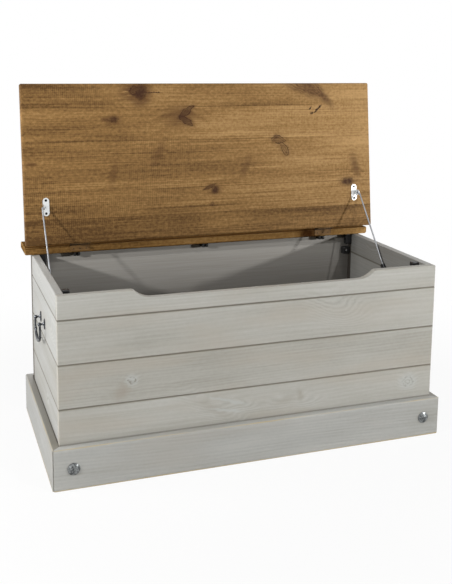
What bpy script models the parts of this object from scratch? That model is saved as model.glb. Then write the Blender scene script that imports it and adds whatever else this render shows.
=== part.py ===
"""Storage trunk: a plank carcass on a plinth frame, with a lid on two stays.

Metres, +Z up. The front looks towards -Y, and +X is to the right of someone who faces it.
The origin is on the floor, in the middle of the trunk's plan. The lid stands open.
"""
import math

import bmesh
import bpy
from mathutils import Vector

# Carcass
CARCASS_WIDTH = 0.930
CARCASS_DEPTH = 0.441
CARCASS_TOP = 0.432
BOARD = 0.018  # thickness of the front, side and back boards
BACK_INSET = 0.0015  # the back panel's ends stay behind the side faces by this much
BASE_BOARD = 0.012
BATTEN_WIDTH = 0.022
BATTEN_HEIGHT = 0.045
BATTEN_END = 0.040  # distance from a batten's end to the side face

# Planks with tongue and groove, counted from the top
PLANK_COUNT = 4
TOP_PLANK = 0.055
PLANK_PITCH = 0.100
JOINT_CHAMFER = 0.0018
TONGUE_WIDTH = 0.006
TONGUE_HEIGHT = 0.005
PLANK_EDGE = 0.0025  # rounding of the top edge and of the front's upright corners

# Scoop in the top plank of the front
SCOOP_HALF_LENGTH = 0.302
SCOOP_DROP = 0.0195
SCOOP_LIP_RADIUS = 0.012
SCOOP_BOWL_RADIUS = 0.060

# Plinth frame
PLINTH_HEIGHT = 0.095
PLINTH_BOARD = 0.017
PLINTH_FRONT_GAP = 0.0005
PLINTH_SIDE_GAP = 0.0008
PLINTH_ROUND = 0.006

# Lid and the fixed rail behind it
LID_WIDTH = 0.970
LID_DEPTH = 0.404
LID_BOARD = 0.020
LID_ROUND = 0.004
LID_REST = 0.0005  # clearance under the closed lid
LID_OPEN = math.radians(97)
RAIL_DEPTH = 0.084
RAIL_FRONT = 0.386  # distance of the rail's front edge behind the carcass's front face
RAIL_ROUND = 0.006

# Hinges
HINGE_PLACE = 0.345  # distance of a hinge's middle from the trunk's middle
HINGE_LENGTH = 0.050
HINGE_LEAF_HEIGHT = 0.020  # below the axis
HINGE_LEAF = 0.0014
HINGE_LEAF_CORNER = 0.003
HINGE_HOLE_DROP = 0.014  # from the axis to the row of screw holes
HINGE_HOLE_PITCH = 0.016
HINGE_HOLE_RADIUS = 0.0019
HINGE_HALF_GAP = 0.002  # from the axis to the lid's and to the rail's edge
HINGE_LEAF_SET = 0.0002  # from the axis plane to a leaf
HINGE_RISE = 0.005  # height of the axis above the lid's top face
KNUCKLE_RADIUS = 0.004
KNUCKLE_MIDDLE = 0.0166  # length of the lid leaf's knuckle
PIN_RADIUS = 0.0018

# Lid stays
STAY_PLATE_LENGTH = 0.046
STAY_PLATE_WIDTH = 0.016
STAY_SHEET = 0.0016
STAY_HOLE_PITCH = 0.0327
STAY_HOLE_RADIUS = 0.0022
STAY_EAR_FROM_CENTRE = 0.4382  # middle of the ear's thickness, from the trunk's middle
STAY_EAR_RADIUS = 0.007
STAY_PIVOT_ALONG = 0.098  # from the hinge axis along the lid
STAY_PIVOT_DROP = 0.012  # below the lid's underside
STAY_ROD_RADIUS = 0.002
STAY_BEND_RADIUS = 0.003
STAY_ROD_TAIL = 0.018  # beyond the guide's middle, with the lid open
STAY_HEAD_RADIUS = 0.0034
STAY_HEAD_LENGTH = 0.004
STAY_CLIP_RADIUS = 0.0048
STAY_CLIP_BOARD = 0.0010
GUIDE_BEHIND_FRONT = 0.211
GUIDE_HEIGHT = 0.380
GUIDE_LENGTH = 0.014
GUIDE_WALL = 0.0018
GUIDE_HALF_SLOT = 0.0026  # across the trunk
GUIDE_FLOOR_DROP = 0.0042  # from the rod's middle to the floor of the slot
GUIDE_LIP_RISE = 0.004
GUIDE_FOOT = 0.017  # from the rod's middle to the end of the screwed foot
GUIDE_SCREW_RADIUS = 0.0018

# Handles on the ends
HANDLE_BEHIND_FRONT = 0.2185
HANDLE_HEIGHT = 0.314
HANDLE_HALF_PITCH = 0.031
HANDLE_STAND_OFF = 0.013  # from the side face to the bail's axis
ROSETTE_HALF_HEIGHT = 0.013
ROSETTE_HALF_WIDTH = 0.007
ROSETTE_BOARD = 0.0026
BALL_RADIUS = 0.0046
NECK_RADIUS = 0.0025
COLLAR_RADIUS = 0.0042
COLLAR_HEIGHT = 0.002
BAIL_PIN_RADIUS = 0.0019
BAIL_LEG_RADIUS = 0.0026
BAIL_GRIP_RADIUS = 0.0038
BAIL_HALF_WIDTH = 0.0395
BAIL_DROP = 0.046
BAIL_SHOULDER = 0.004
BAIL_BOW = 0.026  # height of the bail's rounded bottom
BAIL_PIN_REACH = 0.0032  # how far a pin reaches past the ball's middle

# Studs on the plinth
STUD_RADIUS = 0.0138
STUD_RISE = 0.0065
STUD_RIM = 0.0012
STUD_FROM_SIDE = 0.028

# Black blocks that hold the boards together
RAIL_BLOCK = Vector((0.018, 0.022, 0.012))
RAIL_BLOCK_PLACE = 0.350  # of the outer blocks, from the trunk's middle
CORNER_BLOCK = Vector((0.018, 0.016, 0.030))
CORNER_BLOCK_FROM_FRONT = 0.046
CORNER_BLOCK_FROM_BACK = 0.006
CORNER_BLOCK_DROP = 0.0015  # below the carcass's top edge
SCREW_BLOCK = Vector((0.023, 0.014, 0.020))
SCREW_BLOCK_HEIGHT = 0.381
BLOCK_EDGE = 0.0022
BLOCK_HOLE_RADIUS = 0.0035
BLOCK_HOLE_DEPTH = 0.005

# Clearances and facets
GAP = 0.0003  # between pieces that touch
WELD = 0.00001
ROUND_STEPS = 20

# Places worked out from the sizes above
HALF_WIDTH = CARCASS_WIDTH / 2
INNER_HALF_WIDTH = HALF_WIDTH - BOARD
FRONT_REACH = PLINTH_FRONT_GAP + PLINTH_BOARD + GAP + STUD_RISE
FRONT_Y = -(RAIL_FRONT + RAIL_DEPTH - FRONT_REACH) / 2
BACK_Y = FRONT_Y + CARCASS_DEPTH
BACK_INNER_Y = BACK_Y - BOARD + GAP
PLANK_BOTTOM = CARCASS_TOP - TOP_PLANK - (PLANK_COUNT - 1) * PLANK_PITCH
RAIL_FRONT_Y = FRONT_Y + RAIL_FRONT
RAIL_BOTTOM = CARCASS_TOP + GAP
HINGE_Y = RAIL_FRONT_Y - HINGE_HALF_GAP
HINGE_Z = CARCASS_TOP + LID_REST + LID_BOARD + HINGE_RISE
LID_UNDERSIDE = -HINGE_RISE - LID_BOARD  # in the closed lid's frame, from the hinge axis
STAY_PIVOT = Vector((0, -STAY_PIVOT_ALONG, LID_UNDERSIDE - STAY_PIVOT_DROP))
GUIDE_Y = FRONT_Y + GUIDE_BEHIND_FRONT
STAY_ROD_X = STAY_EAR_FROM_CENTRE + STAY_SHEET / 2 + GAP + STAY_BEND_RADIUS
SIDES = (("left", -1), ("right", 1))

# Finishes: colour, roughness, metallic
GREY_WASH = ((0.40, 0.385, 0.36), 0.6, 0.0)
WAXED_PINE = ((0.23, 0.135, 0.075), 0.45, 0.0)
RAW_BOARD = ((0.17, 0.145, 0.12), 0.7, 0.0)
BLACK_PLASTIC = ((0.015, 0.015, 0.016), 0.4, 0.0)
PEWTER = ((0.16, 0.16, 0.165), 0.4, 0.9)
ZINC = ((0.62, 0.62, 0.60), 0.3, 1.0)
STEEL = ((0.38, 0.38, 0.38), 0.35, 1.0)
BRONZE = ((0.12, 0.10, 0.08), 0.45, 0.9)


def clear_scene():
    """Remove what the scene holds."""
    for old in list(bpy.data.objects):
        bpy.data.objects.remove(old, do_unlink=True)


def new_collection(name):
    """Add a collection to the scene."""
    made = bpy.data.collections.new(name)
    bpy.context.scene.collection.children.link(made)
    return made


def finish(obj, look):
    """Give an object its own material."""
    colour, roughness, metallic = look
    material = bpy.data.materials.new(obj.name)
    material.use_nodes = True
    shader = material.node_tree.nodes["Principled BSDF"]
    shader.inputs["Base Color"].default_value = (*colour, 1)
    shader.inputs["Roughness"].default_value = roughness
    shader.inputs["Metallic"].default_value = metallic
    material.diffuse_color = (*colour, 1)
    obj.data.materials.clear()
    obj.data.materials.append(material)


def add_object(name, data, location=(0, 0, 0), rotation=(0, 0, 0), parent=None):
    """Put new data into the trunk's collection, in its parent's frame if it has one."""
    obj = bpy.data.objects.new(name, data)
    trunk.objects.link(obj)
    obj.location = location
    obj.rotation_euler = rotation
    obj.parent = parent
    return obj


def add_mesh(name, bm, **place):
    """Make an object of a bmesh and free the bmesh."""
    mesh = bpy.data.meshes.new(name)
    bm.to_mesh(mesh)
    bm.free()
    return add_object(name, mesh, **place)


def add_axis(name, location, rotation=(0, 0, 0), parent=None):
    """An empty on a joint's axis, for the pieces that turn with it."""
    return add_object(name, None, location, rotation, parent)


def add_box(name, low, high, **place):
    """A box between two corners, with its origin at its middle."""
    low = Vector(low)
    high = Vector(high)
    bm = bmesh.new()
    bmesh.ops.create_cube(bm, size=1.0)
    bmesh.ops.scale(bm, vec=high - low, verts=bm.verts)
    return add_mesh(name, bm, location=(low + high) / 2, **place)


def add_cylinder(name, radius, length, **place):
    """A cylinder along its own Z axis, with its origin at its middle."""
    bm = bmesh.new()
    bmesh.ops.create_cone(
        bm, cap_ends=True, segments=ROUND_STEPS, radius1=radius, radius2=radius, depth=length,
    )
    return add_mesh(name, bm, **place)


def add_turned(name, profile, **place):
    """A shape turned about its own Z axis from (radius, height) points, top to bottom."""
    mesh = bpy.data.meshes.new(name)
    points = [(radius, 0, height) for radius, height in profile]
    mesh.from_pydata(points, [(i, i + 1) for i in range(len(points) - 1)], [])
    obj = add_object(name, mesh, **place)
    screw = obj.modifiers.new("turn", 'SCREW')
    screw.steps = ROUND_STEPS
    screw.render_steps = ROUND_STEPS
    screw.use_merge_vertices = True
    screw.merge_threshold = WELD
    screw.use_smooth_shade = True
    return obj


def add_outline(name, outlines, thickness, **place):
    """A flat piece from closed outlines in its own XY plane; the second and later ones are holes."""
    curve = bpy.data.curves.new(name, 'CURVE')
    curve.dimensions = '2D'
    curve.fill_mode = 'BOTH'
    curve.extrude = thickness / 2
    for outline in outlines:
        spline = curve.splines.new('POLY')
        spline.points.add(len(outline) - 1)
        for point, (x, y) in zip(spline.points, outline):
            point.co = (x, y, 0, 1)
        spline.use_cyclic_u = True
    return as_mesh(add_object(name, curve, **place))


def add_wire(name, path, radii, **place):
    """A round bar along a path, with a radius at each of its points."""
    curve = bpy.data.curves.new(name, 'CURVE')
    curve.dimensions = '3D'
    curve.bevel_depth = 1.0
    curve.bevel_resolution = 2
    curve.use_fill_caps = True
    spline = curve.splines.new('POLY')
    spline.points.add(len(path) - 1)
    for point, place_on_path, radius in zip(spline.points, path, radii):
        point.co = (*place_on_path, 1)
        point.radius = radius
    return add_object(name, curve, **place)


def as_mesh(curve_object):
    """Replace a curve object by a mesh object with welded caps and undivided flat faces."""
    bpy.context.view_layer.update()
    graph = bpy.context.evaluated_depsgraph_get()
    mesh = bpy.data.meshes.new_from_object(curve_object.evaluated_get(graph))
    bm = bmesh.new()
    bm.from_mesh(mesh)
    bmesh.ops.remove_doubles(bm, verts=bm.verts, dist=WELD)
    bmesh.ops.dissolve_limit(bm, angle_limit=math.radians(1), verts=bm.verts, edges=bm.edges)
    bm.to_mesh(mesh)
    bm.free()
    name = curve_object.name
    place = {
        "location": curve_object.location.copy(),
        "rotation": curve_object.rotation_euler.copy(),
        "parent": curve_object.parent,
    }
    bpy.data.objects.remove(curve_object)
    return add_object(name, mesh, **place)


def combine(target, tool, operation):
    """Cut a target by a tool, or join the tool to it, and put the tool among the cutters."""
    boolean = target.modifiers.new(operation.lower(), 'BOOLEAN')
    boolean.operation = operation
    boolean.solver = 'EXACT'
    boolean.object = tool
    trunk.objects.unlink(tool)
    cutters.objects.link(tool)
    tool.hide_render = True
    tool.display_type = 'WIRE'


def ease(obj, width, segments=2, weight=None):
    """Round the sharp edges, or those that get a weight from the edge's two end points."""
    bevel = obj.modifiers.new("ease", 'BEVEL')
    bevel.width = width
    bevel.segments = segments
    if weight is None:
        bevel.limit_method = 'ANGLE'
        bevel.angle_limit = math.radians(30)
        return
    bevel.limit_method = 'WEIGHT'
    mesh = obj.data
    weights = mesh.attributes.new("bevel_weight_edge", 'FLOAT', 'EDGE')
    for edge in mesh.edges:
        first, second = (mesh.vertices[i].co for i in edge.vertices)
        weights.data[edge.index].value = weight(first, second)


def arc(centre, radius, start, end, steps=4):
    """Points on an arc, both ends included. The angles are in degrees."""
    points = []
    for i in range(steps + 1):
        angle = math.radians(start + (end - start) * i / steps)
        points.append((centre[0] + radius * math.cos(angle), centre[1] + radius * math.sin(angle)))
    return points


def circle(centre, radius):
    """Points round a whole circle."""
    return arc(centre, radius, 0, 360, ROUND_STEPS)[:-1]


def plank_rows():
    """Number, bottom and height of each plank, from the top one down."""
    rows = []
    bottom = CARCASS_TOP
    for number in range(1, PLANK_COUNT + 1):
        height = TOP_PLANK if number == 1 else PLANK_PITCH
        bottom -= height
        rows.append((number, bottom, height - GAP))
    return rows


def plank_outline(number, height):
    """A plank's cross-section, with its outer face at x = 0 and its inner face at x = BOARD."""
    middle = BOARD / 2
    tongue = TONGUE_WIDTH / 2
    groove = tongue + GAP
    groove_depth = TONGUE_HEIGHT + GAP
    points = [(JOINT_CHAMFER, 0)]
    if number < PLANK_COUNT:
        points += [(middle - groove, 0), (middle - groove, groove_depth)]
        points += [(middle + groove, groove_depth), (middle + groove, 0)]
    points.append((BOARD, 0))
    if number == 1:
        points += arc((BOARD - PLANK_EDGE, height - PLANK_EDGE), PLANK_EDGE, 0, 90, 3)
        points += arc((PLANK_EDGE, height - PLANK_EDGE), PLANK_EDGE, 90, 180, 3)
    else:
        points += [(BOARD, height), (middle + tongue, height), (middle + tongue, height + TONGUE_HEIGHT)]
        points += [(middle - tongue, height + TONGUE_HEIGHT), (middle - tongue, height)]
        points += [(JOINT_CHAMFER, height), (0, height - JOINT_CHAMFER)]
    points.append((0, JOINT_CHAMFER))
    return points


def scoop_end(height):
    """The S-shaped right end of the scoop, from the top edge down to the scoop's floor."""
    reach = SCOOP_LIP_RADIUS + SCOOP_BOWL_RADIUS
    sweep = math.degrees(math.acos(1 - SCOOP_DROP / reach))
    run = reach * math.sin(math.radians(sweep))
    lip_centre = (SCOOP_HALF_LENGTH, height - SCOOP_LIP_RADIUS)
    bowl_centre = (SCOOP_HALF_LENGTH - run, height - SCOOP_DROP + SCOOP_BOWL_RADIUS)
    lip = arc(lip_centre, SCOOP_LIP_RADIUS, 90, 90 + sweep)
    bowl = arc(bowl_centre, SCOOP_BOWL_RADIUS, sweep - 90, -90, 6)
    return lip + bowl[1:]


def build_scooped_plank(bottom, height):
    """The front's top plank, with the scoop along its top edge."""
    right_end = scoop_end(height)
    left_end = [(-x, z) for x, z in reversed(right_end)]
    outline = [(-HALF_WIDTH, 0), (HALF_WIDTH, 0), (HALF_WIDTH, height)]
    outline += right_end + left_end
    outline.append((-HALF_WIDTH, height))
    place = (0, FRONT_Y + BOARD / 2, bottom)
    plank = add_outline("front_plank_1", [outline], BOARD, location=place, rotation=(math.pi / 2, 0, 0))
    ease(plank, PLANK_EDGE, 3)
    groove_low = (-CARCASS_WIDTH, FRONT_Y + BOARD / 2 - TONGUE_WIDTH / 2 - GAP, bottom - BOARD)
    groove_high = (CARCASS_WIDTH, FRONT_Y + BOARD / 2 + TONGUE_WIDTH / 2 + GAP, bottom + TONGUE_HEIGHT + GAP)
    combine(plank, add_box("front_groove", groove_low, groove_high), 'DIFFERENCE')
    finish(plank, GREY_WASH)


def build_front():
    """The front's planks, which cover the ends of the side planks."""

    def corner(first, second):
        """Weight of the outer face's edges at the plank's two ends."""
        outer = max(first.x, second.x) < WELD
        at_one_end = abs(first.z - second.z) < WELD
        return 1.0 if outer and at_one_end else 0.0

    for number, bottom, height in plank_rows():
        if number == 1:
            build_scooped_plank(bottom, height)
            continue
        outline = plank_outline(number, height)
        plank = add_outline(
            f"front_plank_{number}", [outline], CARCASS_WIDTH,
            location=(0, FRONT_Y, bottom), rotation=(math.pi / 2, 0, math.pi / 2),
        )
        ease(plank, PLANK_EDGE, 3, corner)
        finish(plank, GREY_WASH)


def build_sides():
    """The planks of the two ends, between the front and the back panel."""
    front = FRONT_Y + BOARD + GAP
    back = BACK_INNER_Y - GAP
    for name, side in SIDES:
        turn = 0 if side < 0 else math.pi
        for number, bottom, height in plank_rows():
            plank = add_outline(
                f"{name}_plank_{number}", [plank_outline(number, height)], back - front,
                location=(side * HALF_WIDTH, (front + back) / 2, bottom), rotation=(math.pi / 2, 0, turn),
            )
            finish(plank, GREY_WASH)


def build_back_and_base():
    """The back panel, and the base panel on its two battens."""
    half_back = HALF_WIDTH - BACK_INSET
    back = add_box("back_panel", (-half_back, BACK_INNER_Y, PLANK_BOTTOM), (half_back, BACK_Y, CARCASS_TOP))
    ease(back, PLANK_EDGE / 2)
    finish(back, RAW_BOARD)
    base_top = PLANK_BOTTOM - GAP
    base_bottom = base_top - BASE_BOARD
    base = add_box("base_panel", (-HALF_WIDTH, FRONT_Y, base_bottom), (HALF_WIDTH, BACK_Y, base_top))
    finish(base, RAW_BOARD)
    batten_half = HALF_WIDTH - BATTEN_END
    batten_top = base_bottom - GAP
    for name, front in (("front", FRONT_Y), ("back", BACK_Y - BATTEN_WIDTH)):
        low = (-batten_half, front, batten_top - BATTEN_HEIGHT)
        high = (batten_half, front + BATTEN_WIDTH, batten_top)
        finish(add_box(f"base_batten_{name}", low, high), RAW_BOARD)


def build_plinth():
    """Four boards round the foot of the carcass, mitred at the corners."""
    outer_half_width = HALF_WIDTH + PLINTH_SIDE_GAP + PLINTH_BOARD
    outer_half_depth = CARCASS_DEPTH / 2 + PLINTH_FRONT_GAP + PLINTH_BOARD
    middle_y = FRONT_Y + CARCASS_DEPTH / 2

    def rounding(first, second):
        """Weight of the outer face's top edge and of its upright edges."""
        if max(first.y, second.y) > WELD - PLINTH_BOARD:
            return 0.0
        if min(first.z, second.z) > 0:
            return 1.0
        return 0.8 if abs(first.z - second.z) > PLINTH_BOARD else 0.0

    def board(name, half_length, place, turn):
        """One board, with its inner face on its own X axis and its outer face towards -Y."""
        outer = half_length - GAP
        inner = outer - PLINTH_BOARD
        outline = [(-outer, -PLINTH_BOARD), (outer, -PLINTH_BOARD), (inner, 0), (-inner, 0)]
        made = add_outline(
            f"plinth_{name}", [outline], PLINTH_HEIGHT,
            location=(*place, PLINTH_HEIGHT / 2), rotation=(0, 0, turn),
        )
        ease(made, PLINTH_ROUND, 3, rounding)
        finish(made, GREY_WASH)

    side_x = HALF_WIDTH + PLINTH_SIDE_GAP
    board("front", outer_half_width, (0, FRONT_Y - PLINTH_FRONT_GAP), 0)
    board("right", outer_half_depth, (side_x, middle_y), math.pi / 2)
    board("back", outer_half_width, (0, BACK_Y + PLINTH_FRONT_GAP), math.pi)
    board("left", outer_half_depth, (-side_x, middle_y), -math.pi / 2)


def build_studs():
    """Domed nail heads near the ends of the plinth's front."""
    sphere = (STUD_RADIUS ** 2 + (STUD_RISE - STUD_RIM) ** 2) / (2 * (STUD_RISE - STUD_RIM))
    edge = math.degrees(math.asin(STUD_RADIUS / sphere))
    dome = arc((0, STUD_RISE - sphere), sphere, 90, 90 - edge, 6)
    profile = dome + [(STUD_RADIUS, 0), (0, 0)]
    for name, side in SIDES:
        place = (side * (HALF_WIDTH - STUD_FROM_SIDE), FRONT_Y - FRONT_REACH + STUD_RISE, PLINTH_HEIGHT / 2)
        stud = add_turned(f"stud_{name}", profile, location=place, rotation=(math.pi / 2, 0, 0))
        finish(stud, PEWTER)


def build_rail():
    """The fixed rear strip of the top, and the blocks that hold it to the back panel."""

    def rounding(first, second):
        """Full weight for the lower edges, less for the upper ones and the ends."""
        return 1.0 if max(first.z, second.z) < 0 else 0.4

    rail = add_box(
        "hinge_rail", (-LID_WIDTH / 2, RAIL_FRONT_Y, RAIL_BOTTOM),
        (LID_WIDTH / 2, RAIL_FRONT_Y + RAIL_DEPTH, RAIL_BOTTOM + LID_BOARD),
    )
    ease(rail, RAIL_ROUND, 3, rounding)
    finish(rail, WAXED_PINE)
    places = (("left", -RAIL_BLOCK_PLACE), ("middle", 0), ("right", RAIL_BLOCK_PLACE))
    for name, x in places:
        high = Vector((x + RAIL_BLOCK.x / 2, BACK_INNER_Y - GAP, RAIL_BOTTOM - GAP))
        build_block(f"rail_block_{name}", high - RAIL_BLOCK, high, Vector((0, -1, 0)))


def build_block(name, low, high, hole_side):
    """A moulded block with a screw hole sunk into one of its faces."""
    block = add_box(name, low, high)
    ease(block, BLOCK_EDGE)
    middle = (low + high) / 2
    half = (high - low) / 2
    face = middle + Vector([half[i] * hole_side[i] for i in range(3)])
    turn = (math.pi / 2, 0, 0) if hole_side.y else (0, math.pi / 2, 0)
    hole = add_cylinder(f"{name}_hole", BLOCK_HOLE_RADIUS, 2 * BLOCK_HOLE_DEPTH, location=face, rotation=turn)
    combine(block, hole, 'DIFFERENCE')
    finish(block, BLACK_PLASTIC)


def build_corner_blocks():
    """Blocks inside the upper corners, and the screw blocks on the back panel."""
    top = CARCASS_TOP - CORNER_BLOCK_DROP
    for name, side in SIDES:
        inner_x = side * (INNER_HALF_WIDTH - GAP)
        x_range = sorted((inner_x, inner_x - side * CORNER_BLOCK.x))
        front = FRONT_Y + CORNER_BLOCK_FROM_FRONT
        back = BACK_INNER_Y - CORNER_BLOCK_FROM_BACK - CORNER_BLOCK.y
        for place, y in (("front", front), ("back", back)):
            low = Vector((x_range[0], y, top - CORNER_BLOCK.z))
            high = Vector((x_range[1], y + CORNER_BLOCK.y, top))
            build_block(f"corner_block_{place}_{name}", low, high, Vector((-side, 0, 0)))
        x_range = sorted((inner_x, inner_x - side * SCREW_BLOCK.x))
        low = Vector((x_range[0], BACK_INNER_Y - GAP - SCREW_BLOCK.y, SCREW_BLOCK_HEIGHT - SCREW_BLOCK.z / 2))
        high = Vector((x_range[1], BACK_INNER_Y - GAP, SCREW_BLOCK_HEIGHT + SCREW_BLOCK.z / 2))
        build_block(f"screw_block_{name}", low, high, Vector((0, -1, 0)))


def build_lid(lid_axis):
    """The lid panel, in the frame of the closed lid on its hinge axis."""
    low = (-LID_WIDTH / 2, -HINGE_HALF_GAP - LID_DEPTH, LID_UNDERSIDE)
    high = (LID_WIDTH / 2, -HINGE_HALF_GAP, LID_UNDERSIDE + LID_BOARD)
    lid = add_box("lid_panel", low, high, parent=lid_axis)
    ease(lid, LID_ROUND, 3)
    finish(lid, WAXED_PINE)


def leaf_outlines():
    """A leaf's plate, with its top edge on the hinge axis, and its screw holes."""
    end = HINGE_LENGTH / 2
    inset = end - HINGE_LEAF_CORNER
    corner_height = HINGE_LEAF_CORNER - HINGE_LEAF_HEIGHT
    plate = [(end, 0), (-end, 0)]
    plate += arc((-inset, corner_height), HINGE_LEAF_CORNER, 180, 270)
    plate += arc((inset, corner_height), HINGE_LEAF_CORNER, 270, 360)
    holes = [circle((i * HINGE_HOLE_PITCH, -HINGE_HOLE_DROP), HINGE_HOLE_RADIUS) for i in (-1, 0, 1)]
    return [plate, *holes]


def build_leaf(name, facing, knuckles, clearances, hinge_axis):
    """A hinge leaf on one side of the axis plane, with the knuckles that belong to it."""
    leaf = add_outline(
        name, leaf_outlines(), HINGE_LEAF, location=(0, facing * (HINGE_LEAF_SET + HINGE_LEAF / 2), 0),
        rotation=(math.pi / 2, 0, 0), parent=hinge_axis,
    )
    turn = (0, math.pi / 2, 0)
    for number, (start, end) in enumerate(clearances):
        room = add_cylinder(
            f"{name}_room_{number}", KNUCKLE_RADIUS + GAP, end - start,
            location=((start + end) / 2, 0, 0), rotation=turn, parent=hinge_axis,
        )
        combine(leaf, room, 'DIFFERENCE')
    for number, (start, end) in enumerate(knuckles):
        knuckle = add_cylinder(
            f"{name}_knuckle_{number}", KNUCKLE_RADIUS, end - start,
            location=((start + end) / 2, 0, 0), rotation=turn, parent=hinge_axis,
        )
        combine(leaf, knuckle, 'UNION')
    bore = add_cylinder(f"{name}_bore", PIN_RADIUS + GAP, 2 * HINGE_LENGTH, rotation=turn, parent=hinge_axis)
    combine(leaf, bore, 'DIFFERENCE')
    finish(leaf, BRONZE)


def build_hinges(lid_axis):
    """Two butt hinges between the rail's edge and the lid's edge."""
    end = HINGE_LENGTH / 2
    middle = KNUCKLE_MIDDLE / 2
    room = middle + GAP
    for name, side in SIDES:
        x = side * HINGE_PLACE
        rail_axis = add_axis(f"hinge_{name}_rail_axis", (x, HINGE_Y, HINGE_Z))
        leaf_axis = add_axis(f"hinge_{name}_lid_axis", (x, 0, 0), parent=lid_axis)
        outer_knuckles = ((-end + GAP, -room), (room, end - GAP))
        build_leaf(f"hinge_{name}_rail_leaf", 1, outer_knuckles, ((-room, room),), rail_axis)
        outer_rooms = ((-end - GAP, -middle), (middle, end + GAP))
        build_leaf(f"hinge_{name}_lid_leaf", -1, ((-middle, middle),), outer_rooms, leaf_axis)
        pin = add_cylinder(
            f"hinge_{name}_pin", PIN_RADIUS, HINGE_LENGTH + 2 * GAP,
            rotation=(0, math.pi / 2, 0), parent=rail_axis,
        )
        finish(pin, BRONZE)


def build_stay_bracket(name, side, lid_axis):
    """A plate under the lid, with an ear folded down at its outer edge for the rod."""
    round_end = STAY_PLATE_WIDTH / 2
    straight = STAY_PLATE_LENGTH / 2 - round_end
    outline = arc((0, straight), round_end, 0, 180, 8) + arc((0, -straight), round_end, 180, 360, 8)
    holes = [circle((0, sign * STAY_HOLE_PITCH / 2), STAY_HOLE_RADIUS) for sign in (-1, 1)]
    plate_x = side * (STAY_EAR_FROM_CENTRE + STAY_SHEET / 2 - round_end + GAP)
    plate_z = LID_UNDERSIDE - GAP - STAY_SHEET / 2
    bracket = add_outline(
        f"stay_{name}_bracket", [outline, *holes], STAY_SHEET,
        location=(plate_x, STAY_PIVOT.y, plate_z), parent=lid_axis,
    )
    drop = plate_z - STAY_PIVOT.z
    tab = [(STAY_EAR_RADIUS, drop), (-STAY_EAR_RADIUS, drop)] + arc((0, 0), STAY_EAR_RADIUS, 180, 360, 8)
    hole = circle((0, 0), STAY_ROD_RADIUS + GAP)
    ear = add_outline(
        f"stay_{name}_ear", [tab, hole], STAY_SHEET,
        location=(side * STAY_EAR_FROM_CENTRE, STAY_PIVOT.y, STAY_PIVOT.z),
        rotation=(math.pi / 2, 0, math.pi / 2), parent=lid_axis,
    )
    combine(bracket, ear, 'UNION')
    finish(bracket, ZINC)


def stay_geometry():
    """Reach from the open lid's pivot to the guide, and the rod's tilt with the lid open and closed."""
    guide = Vector((0, GUIDE_Y - HINGE_Y, GUIDE_HEIGHT - HINGE_Z))
    turn_y = STAY_PIVOT.y * math.cos(LID_OPEN) + STAY_PIVOT.z * math.sin(LID_OPEN)
    turn_z = STAY_PIVOT.z * math.cos(LID_OPEN) - STAY_PIVOT.y * math.sin(LID_OPEN)
    open_way = guide - Vector((0, turn_y, turn_z))
    closed_way = guide - STAY_PIVOT
    open_tilt = math.atan2(open_way.y, -open_way.z)
    closed_tilt = math.atan2(closed_way.y, -closed_way.z)
    return open_way.length, open_tilt, closed_tilt


def build_stay_rod(name, side, lid_axis):
    """The rod that turns in the bracket's ear, with the clip that keeps it there."""
    reach, tilt, _ = stay_geometry()
    ear_x = side * STAY_EAR_FROM_CENTRE
    pivot = add_axis(
        f"stay_{name}_axis", (ear_x, STAY_PIVOT.y, STAY_PIVOT.z),
        rotation=(tilt + LID_OPEN, 0, 0), parent=lid_axis,
    )
    inner_end = STAY_SHEET / 2 + 3 * GAP + STAY_CLIP_BOARD + STAY_ROD_RADIUS
    bend_start = STAY_SHEET / 2 + GAP
    bend = arc((bend_start, -STAY_BEND_RADIUS), STAY_BEND_RADIUS, 90, 0, 5)
    rod_x = bend_start + STAY_BEND_RADIUS
    end = reach + STAY_ROD_TAIL
    head = end - STAY_HEAD_LENGTH
    path = [(-inner_end, 0)] + bend + [(rod_x, -head / 2), (rod_x, GAP - head), (rod_x, -head), (rod_x, -end)]
    radii = [STAY_ROD_RADIUS] * (len(path) - 2) + [STAY_HEAD_RADIUS] * 2
    points = [(side * x, 0, z) for x, z in path]
    rod = add_wire(f"stay_{name}_rod", points, radii, parent=pivot)
    finish(rod, STEEL)
    clip_x = -side * (STAY_SHEET / 2 + GAP + STAY_CLIP_BOARD / 2)
    clip = add_outline(
        f"stay_{name}_clip", [circle((0, 0), STAY_CLIP_RADIUS), circle((0, 0), STAY_ROD_RADIUS + GAP)],
        STAY_CLIP_BOARD, location=(clip_x, 0, 0), rotation=(0, math.pi / 2, 0), parent=pivot,
    )
    finish(clip, STEEL)


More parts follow.
